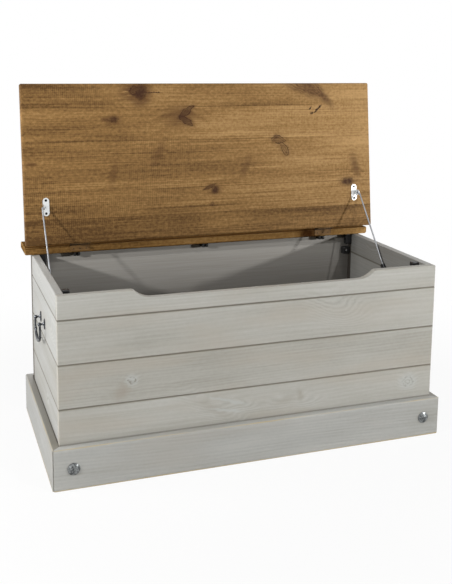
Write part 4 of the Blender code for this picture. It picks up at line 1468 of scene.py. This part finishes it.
@dataclass
class LidStays(Assembly):
    """Brackets under the lid, rods, clips, and the hooks that the rods rest in."""

    swing: LidSwing = LidSwing()
    pivot: Vector = Vector((0.4382, 0.136369, 0.559279))
    tilt: float = math.radians(-39.58)
    reach: float = 250.6 * MM
    radius: float = 2.0 * MM
    tail: float = 4.7 * MM
    tail_round: float = 1.7 * MM
    tail_share: float = 0.8
    elbow: float = 1.1 * MM
    bend: float = 3.0 * MM
    head_radius: float = 3.4 * MM
    head_length: float = 4.0 * MM
    head_round: float = 0.8 * MM
    head_shares: tuple[float, ...] = (0.85, 1.0, 0.8)
    neck_round: float = 0.4 * MM
    bracket_screw: float = 3.1 * MM
    plate: Vector = Vector((0.4313, -0.098, -0.0265))
    plate_hole: float = 16.35 * MM
    guide_screw: float = 2.2 * MM
    guide_face: float = 445.2 * MM
    guide_foot: float = 3.5 * MM

    def rod_path(self, sign: int) -> tuple[list[Vector], list[float]]:
        """The rod's path from its hooked end to its headed end.

        Args:
            sign: minus one for the left rod, one for the right rod.

        Returns:
            The points in the trunk's frame, and the radius at each.
        """
        flat = [(-self.tail, 0.0), (self.tail_round - self.tail, 0.0), (self.elbow, 0.0)]
        for step in range(1, 9):
            angle = math.radians(90 - 90 * step / 8)
            flat.append((self.elbow + self.bend * math.cos(angle), self.bend * (math.sin(angle) - 1)))
        side = flat[-1][0]
        neck = self.reach - self.head_length
        flat += [(side, -neck * step / 8) for step in range(1, 8)]
        flat += [(side, self.neck_round - neck), (side, -neck)]
        flat += [(side, self.head_round - self.reach), (side, -self.reach)]
        radii = [self.radius * self.tail_share]
        radii += [self.radius] * (len(flat) - 1 - len(self.head_shares))
        radii += [self.head_radius * share for share in self.head_shares]
        turn = Matrix.Rotation(self.tilt, 3, "X")
        centre = Vector((sign * self.pivot.x, self.pivot.y, self.pivot.z))
        return [centre + turn @ Vector((sign * x, 0, z)) for x, z in flat], radii

    def build(self) -> None:
        """Model the rods, dress the rest and drive the screws."""
        stand = self.swing.stand()
        for side, sign in SIDES:
            rod = Bench.wire(f"stay_{side}_drawn_rod", *self.rod_path(sign))
            self.add(rod, f"stay_{side}", "steel", self.shop.steel, f"stay_{side}_rod")
            self.dress(self.shop.zinc, f"stay_{side}_bracket")
            self.dress(self.shop.steel, f"stay_{side}_clip")
            self.dress(self.shop.black, f"stay_{side}_guide")
            places = []
            for way in (-1, 1):
                hole = Vector((sign * self.plate.x, self.plate.y + way * self.plate_hole, self.plate.z))
                places.append((stand @ hole, stand.to_3x3() @ Vector((0, 0, -1))))
            piece = self.screws.drive(f"stay_{side}_bracket_screws", self.bracket_screw, places)
            self.add(piece, "lid", "black_plastic", self.shop.screw)
            low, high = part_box(f"stay_{side}_guide")
            _, y, z = (low + high) / 2
            foot = Vector((sign * self.guide_face, y + self.guide_foot, z + self.guide_foot))
            places = [(foot, Vector((-sign, 0, 0)))]
            piece = self.screws.drive(f"stay_{side}_guide_screw", self.guide_screw, places)
            self.add(piece, "carcass", "black_plastic", self.shop.screw)


@dataclass
class CornerBlocks(Assembly):
    """The black blocks inside the trunk, each with its screw."""

    screw_radius: float = 3.1 * MM
    screw_depth: float = 2.5 * MM

    def build(self) -> None:
        """Dress the blocks and drive their screws."""
        forward = Vector((0, -1, 0))
        for place in ("left", "middle", "right"):
            self.fix(f"rail_block_{place}", forward)
        for side, sign in SIDES:
            self.fix(f"screw_block_{side}", forward, bright=True)
            for place in ("front", "back"):
                self.fix(f"corner_block_{place}_{side}", Vector((-sign, 0, 0)))

    def fix(self, node: str, way: Vector, bright: bool = False) -> None:
        """Dress a block and drive its screw.

        Args:
            node: the block's name.
            way: where its screw looks.
            bright: whether the screw is plated.
        """
        self.dress(self.shop.black, node)
        low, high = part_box(node)
        half = (high - low) / 2
        face = (low + high) / 2 + Vector(half[i] * way[i] for i in range(3))
        piece = self.screws.drive(f"{node}_screw", self.screw_radius, [(face - way * self.screw_depth, way)])
        slot, finish = ("zinc", self.shop.zinc) if bright else ("black_plastic", self.shop.screw)
        self.add(piece, "carcass", slot, finish)


@dataclass
class Studs(Assembly):
    """Hammered nail heads on the plinth's front."""

    radius: float = 13.8 * MM
    rise: float = 6.5 * MM
    rim: float = 1.2 * MM
    facets: int = 48
    crown_steps: int = 14
    blows: int = 22
    dents: tuple[float, ...] = (0.238 * MM, 0.34 * MM, 0.442 * MM)
    spread: float = 0.95
    first_blow: float = 0.3
    blow_turn: float = 2.4
    stud_turn: float = 0.7

    def hammered(self) -> bpy.types.Object:
        """A stud along Z, turned and then flattened in small faces by blows.

        Returns:
            The pattern of the studs.
        """
        crown = self.rise - self.rim
        ball = (self.radius ** 2 + crown ** 2) / (2 * crown)
        sweep = math.asin(self.radius / ball)
        profile = [(0.0, self.rise)]
        for step in range(1, self.crown_steps + 1):
            angle = sweep * step / self.crown_steps
            profile.append((ball * math.sin(angle), self.rise - ball * (1 - math.cos(angle))))
        profile += [(self.radius, 0.0), (0.0, 0.0)]
        stud = Bench.turned("stud_pattern", profile, self.facets)
        middle = Vector((0, 0, self.rise - ball))
        for blow in range(self.blows):
            slope = sweep * self.spread * math.sqrt((blow + self.first_blow) / self.blows)
            turn = self.blow_turn * blow
            lean = math.sin(slope)
            way = Vector((lean * math.cos(turn), lean * math.sin(turn), math.cos(slope)))
            depth = self.dents[blow % len(self.dents)]
            with Bench.editing(stud):
                bpy.ops.mesh.bisect(plane_co=middle + way * (ball - depth), plane_no=way, use_fill=True,
                                    clear_outer=True, threshold=0.001 * MM)
        Bench.heal(stud)
        Bench.smooth(stud, degrees=6)
        return stud

    def build(self) -> None:
        """Place the studs, each turned its own way."""
        pattern = self.hammered()
        for side, sign in SIDES:
            stud = Bench.copied(pattern, f"stud_{side}_hammered")
            low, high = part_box(f"stud_{side}")
            place = Matrix.Translation(((low.x + high.x) / 2, high.y, (low.z + high.z) / 2))
            turn = Matrix.Rotation(math.pi / 2, 4, "X") @ Matrix.Rotation(sign * self.stud_turn, 4, "Z")
            Bench.settle(stud, place @ turn)
            self.add(stud, "carcass", "pewter", self.shop.pewter, f"stud_{side}")
        Bench.scrap(pattern)


@dataclass
class DropHandles(Assembly):
    """Cast drop handles: pointed rosettes, flared posts with ball ends, and a swelling bail."""

    centre: Vector = Vector((0.478, -0.00435, 0.314))
    face: float = 465.3 * MM
    half_pitch: float = 31.0 * MM
    leaf_height: float = 13.0 * MM
    leaf_width: float = 7.0 * MM
    leaf_base: float = 1.7 * MM
    leaf_steps: tuple[Span, ...] = ((0.88, 0.30 * MM), (0.90, 0.45 * MM), (0.70, 0.15 * MM))
    foot: tuple[Span, ...] = (
        (0.0, 1.0 * MM), (5.2 * MM, 1.0 * MM), (5.2 * MM, 2.3 * MM), (4.5 * MM, 3.0 * MM),
        (3.6 * MM, 3.9 * MM), (2.9 * MM, 5.2 * MM), (2.4 * MM, 6.6 * MM))
    ball: float = 4.6 * MM
    ball_steps: int = 14
    post_facets: int = 28
    pin: float = 1.9 * MM
    pin_play: float = 0.3 * MM
    pin_end: float = 3.0 * MM
    leg: float = 2.5 * MM
    grip: float = 3.8 * MM
    half_width: float = 39.5 * MM
    drop: float = 46.0 * MM
    shoulder: float = 4.0 * MM
    bow: float = 26.0 * MM
    bow_steps: int = 26
    bead: float = 1.1 * MM
    bead_step: int = 7
    bead_length: float = 1.3
    swell: float = 1.5

    def rosette(self) -> bpy.types.Object:
        """A pointed oval plate with a crowned face, looking along Z.

        Returns:
            The pattern of the rosettes.
        """
        arc = (self.leaf_height ** 2 + self.leaf_width ** 2) / (2 * self.leaf_width)
        offset = arc - self.leaf_width
        sizes = {"vertices": 128, "radius": arc, "depth": self.leaf_base}
        plate = Bench.start("cylinder", "rosette_pattern", location=(-offset, 0, self.leaf_base / 2), **sizes)
        other = Bench.start("cylinder", "rosette_cutter", location=(offset, 0, self.leaf_base / 2), **sizes)
        Bench.settle(plate, plate.matrix_world.copy())
        Bench.cut(plate, other, "INTERSECT")
        with Bench.editing(plate):
            bpy.ops.mesh.remove_doubles(threshold=0.02 * MM)
            Bench.pick_top(plate)
            for share, rise in self.leaf_steps:
                bpy.ops.mesh.extrude_region_move(TRANSFORM_OT_translate={"value": (0, 0, rise)})
                bpy.ops.transform.resize(value=(share, share, 1), center_override=(0, 0, 0))
        Bench.smooth(plate, degrees=30)
        return plate

    def post(self) -> bpy.types.Object:
        """A flared post with a drilled ball, standing on the rosette along Z.

        Returns:
            The pattern of the posts.
        """
        height = self.centre.x - self.face
        profile = list(self.foot)
        start = math.asin(self.foot[-1][0] / self.ball)
        for step in range(self.ball_steps + 1):
            angle = start + (math.pi - start) * step / self.ball_steps
            radius = self.ball * math.sin(angle) if step < self.ball_steps else 0.0
            profile.append((radius, height - self.ball * math.cos(angle)))
        post = Bench.turned("post_pattern", profile, self.post_facets)
        drill = Bench.start("cylinder", "post_drill", vertices=24, radius=self.pin + self.pin_play,
                            depth=6 * self.ball, location=(0, 0, height), rotation=(math.pi / 2, 0, 0))
        Bench.cut(post, drill)
        Bench.heal(post, 0.03 * MM)
        Bench.smooth(post)
        return post

    def bail_path(self) -> tuple[list[Span], list[float]]:
        """Half of the bail's path, from a pin's end to the bottom.

        Returns:
            The points along Y and Z from the handle's axis, and the radius at each.
        """
        path = [(self.half_pitch - self.pin_end, 0.0), (self.half_width - self.shoulder, 0.0)]
        radii = [self.pin, self.pin]
        for step in range(1, 7):
            angle = math.radians(90 - 15 * step)
            out = self.half_width - self.shoulder * (1 - math.cos(angle))
            path.append((out, self.shoulder * (math.sin(angle) - 1)))
            radii.append(self.leg)
        middle = self.bow - self.drop
        for part in (0.25, 0.5, 0.75):
            path.append((self.half_width, part * (middle + self.shoulder) - self.shoulder))
            radii.append(self.leg)
        for step in range(self.bow_steps + 1):
            angle = math.pi / 2 * step / self.bow_steps
            path.append((self.half_width * math.cos(angle), middle - self.bow * math.sin(angle)))
            bead = self.bead * math.exp(-((step - self.bead_step) / self.bead_length) ** 2)
            swell = (self.grip - self.leg) * math.sin(angle) ** self.swell
            radii.append(min(self.leg + bead + swell, self.grip))
        return path, radii

    def build(self) -> None:
        """Model and place both handles."""
        half, half_radii = self.bail_path()
        path = half + [(-y, z) for y, z in reversed(half[:-1])]
        radii = half_radii + half_radii[-2::-1]
        patterns = (("rosette", self.rosette(), Matrix.Rotation(math.pi / 2, 4, "Z")),
                    ("post", self.post(), Matrix.Identity(4)))
        for side, sign in SIDES:
            axis = Vector((sign * self.centre.x, self.centre.y, self.centre.z))
            bail = Bench.wire(f"handle_{side}_cast_bail", [axis + Vector((0, y, z)) for y, z in path], radii)
            self.add(bail, f"bail_{side}", "pewter", self.shop.blackened, f"handle_{side}_bail")
            outward = Matrix.Rotation(sign * math.pi / 2, 4, "Y")
            for end, way in (("front", -1), ("back", 1)):
                seat = Matrix.Translation((sign * self.face, axis.y + way * self.half_pitch, axis.z))
                for part, pattern, turn in patterns:
                    piece = Bench.copied(pattern, f"handle_{side}_cast_{part}_{end}")
                    Bench.settle(piece, seat @ outward @ turn)
                    self.add(piece, "carcass", "pewter", self.shop.blackened, f"handle_{side}_{part}_{end}")
        Bench.scrap(*(pattern for _, pattern, _ in patterns))


@dataclass
class Lamp:
    """A soft box that looks at the trunk."""

    name: str
    place: Vector
    width: float
    height: float
    power: float
    target: Vector = Vector((0.0, 0.0, 0.40))

    def hang(self) -> None:
        """Add the lamp to the scene."""
        light = bpy.data.lights.new(self.name, "AREA")
        light.shape = "RECTANGLE"
        light.size = self.width
        light.size_y = self.height
        light.energy = self.power
        lamp = bpy.data.objects.new(self.name, light)
        bpy.context.scene.collection.objects.link(lamp)
        lamp.location = self.place
        lamp.rotation_euler = (self.target - self.place).to_track_quat("-Z", "Y").to_euler()
        lamp.visible_camera = False


@dataclass
class Studio:
    """Pale floor, white surround, soft boxes and the camera."""

    ambient: float = 0.09
    floor_half: float = 6.0
    floor_colour: Colour = swatch(238, 238, 237)
    floor_white: float = 0.90
    white_reach: Span = (0.55, 1.4)
    camera_place: Vector = Vector((-0.7275, -1.9959, 0.9432))
    camera_yaw: float = math.radians(19.27)
    camera_pitch: float = math.radians(8.84)
    camera_roll: float = math.radians(0.58)
    focal_pixels: float = 861.3
    frame_height: float = 584.0
    sensor: float = 36.0
    shift_x: float = 0.015
    shift_y: float = -0.18

    def build(self) -> None:
        """Set the stage."""
        bpy.context.scene.view_settings.view_transform = "Standard"
        self.surround()
        self.floor()
        lamps = (
            Lamp("right_box", Vector((2.0, -1.5, 0.85)), 0.08, 0.08, 28.0),
            Lamp("front_box", Vector((1.25, -2.15, 2.55)), 0.09, 0.09, 25.0),
            Lamp("left_box", Vector((-1.9, -0.9, 1.0)), 0.07, 0.07, 21.0),
            Lamp("end_box", Vector((-2.0, 0.1, 1.2)), 0.9, 0.7, 18.0, Vector((-0.46, 0.0, 0.35))),
            Lamp("back_box", Vector((0.6, 2.7, 0.85)), 1.5, 0.8, 34.0),
        )
        for lamp in lamps:
            lamp.hang()
        self.camera()

    @staticmethod
    def seen(shader: Shader) -> Signal:
        """A mask of the rays that should meet white.

        Args:
            shader: the tree that uses it.

        Returns:
            One for rays from the camera, from gloss and through glass, and else zero.
        """
        path = shader.node("ShaderNodeLightPath").socket.node.outputs
        names = ("Is Camera Ray", "Is Glossy Ray", "Is Transmission Ray")
        camera, glossy, clear = (Signal(shader, path[name]) for name in names)
        return camera.most(glossy).most(clear)

    def surround(self) -> None:
        """A white world that lights the trunk gently."""
        world = bpy.data.worlds.new("white_surround")
        bpy.context.scene.world = world
        shader = Shader(world)
        strength = self.seen(shader) * (1 - self.ambient) + self.ambient
        glow = shader.node("ShaderNodeBackground", sockets={"Color": WHITE, "Strength": strength})
        shader.close(glow, "ShaderNodeOutputWorld")

    def floor(self) -> None:
        """A pale floor that keeps the trunk's shadow and turns white away from it."""
        floor = Bench.start("plane", "floor", size=2 * self.floor_half)
        shader = Shader(bpy.data.materials.new("pale_floor"))
        distance = shader.vector("LENGTH", shader.place(), out="Value")
        lit = shader.node("ShaderNodeBsdfDiffuse", sockets={"Color": self.floor_colour})
        white = shader.node("ShaderNodeEmission", sockets={"Color": WHITE, "Strength": 1.0})
        away = distance.smooth(*self.white_reach) * (1 - self.floor_white) + self.floor_white
        sockets = {0: self.seen(shader) * away, 1: lit, 2: white}
        shader.close(shader.node("ShaderNodeMixShader", sockets=sockets))
        floor.data.materials.append(shader.owner)

    def camera(self) -> None:
        """A camera at the photograph's viewing angle."""
        data = bpy.data.cameras.new("camera")
        data.sensor_width = self.sensor
        data.lens = self.focal_pixels / self.frame_height * self.sensor
        data.shift_x = self.shift_x
        data.shift_y = self.shift_y
        camera = bpy.data.objects.new("camera", data)
        bpy.context.scene.collection.objects.link(camera)
        turn = Euler((math.pi / 2 - self.camera_pitch, 0, -self.camera_yaw)).to_matrix()
        turn = turn @ Matrix.Rotation(self.camera_roll, 3, "Z")
        camera.matrix_world = Matrix.Translation(self.camera_place) @ turn.to_4x4()
        bpy.context.scene.camera = camera


def main() -> None:
    """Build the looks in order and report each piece."""
    logging.basicConfig(level=logging.INFO, format="%(name)s: %(message)s")
    shop = Finishes.mixed()
    screws = ScrewBox()
    for kind in (Carcass, Lid, LidStays, CornerBlocks, Studs, DropHandles):
        group = kind(shop, screws)
        group.build()
        for line in group.done:
            LOG.info("%s: %s", kind.__name__, line)
    screws.empty()
    Studio().build()


if __name__ == "__main__":
    main()
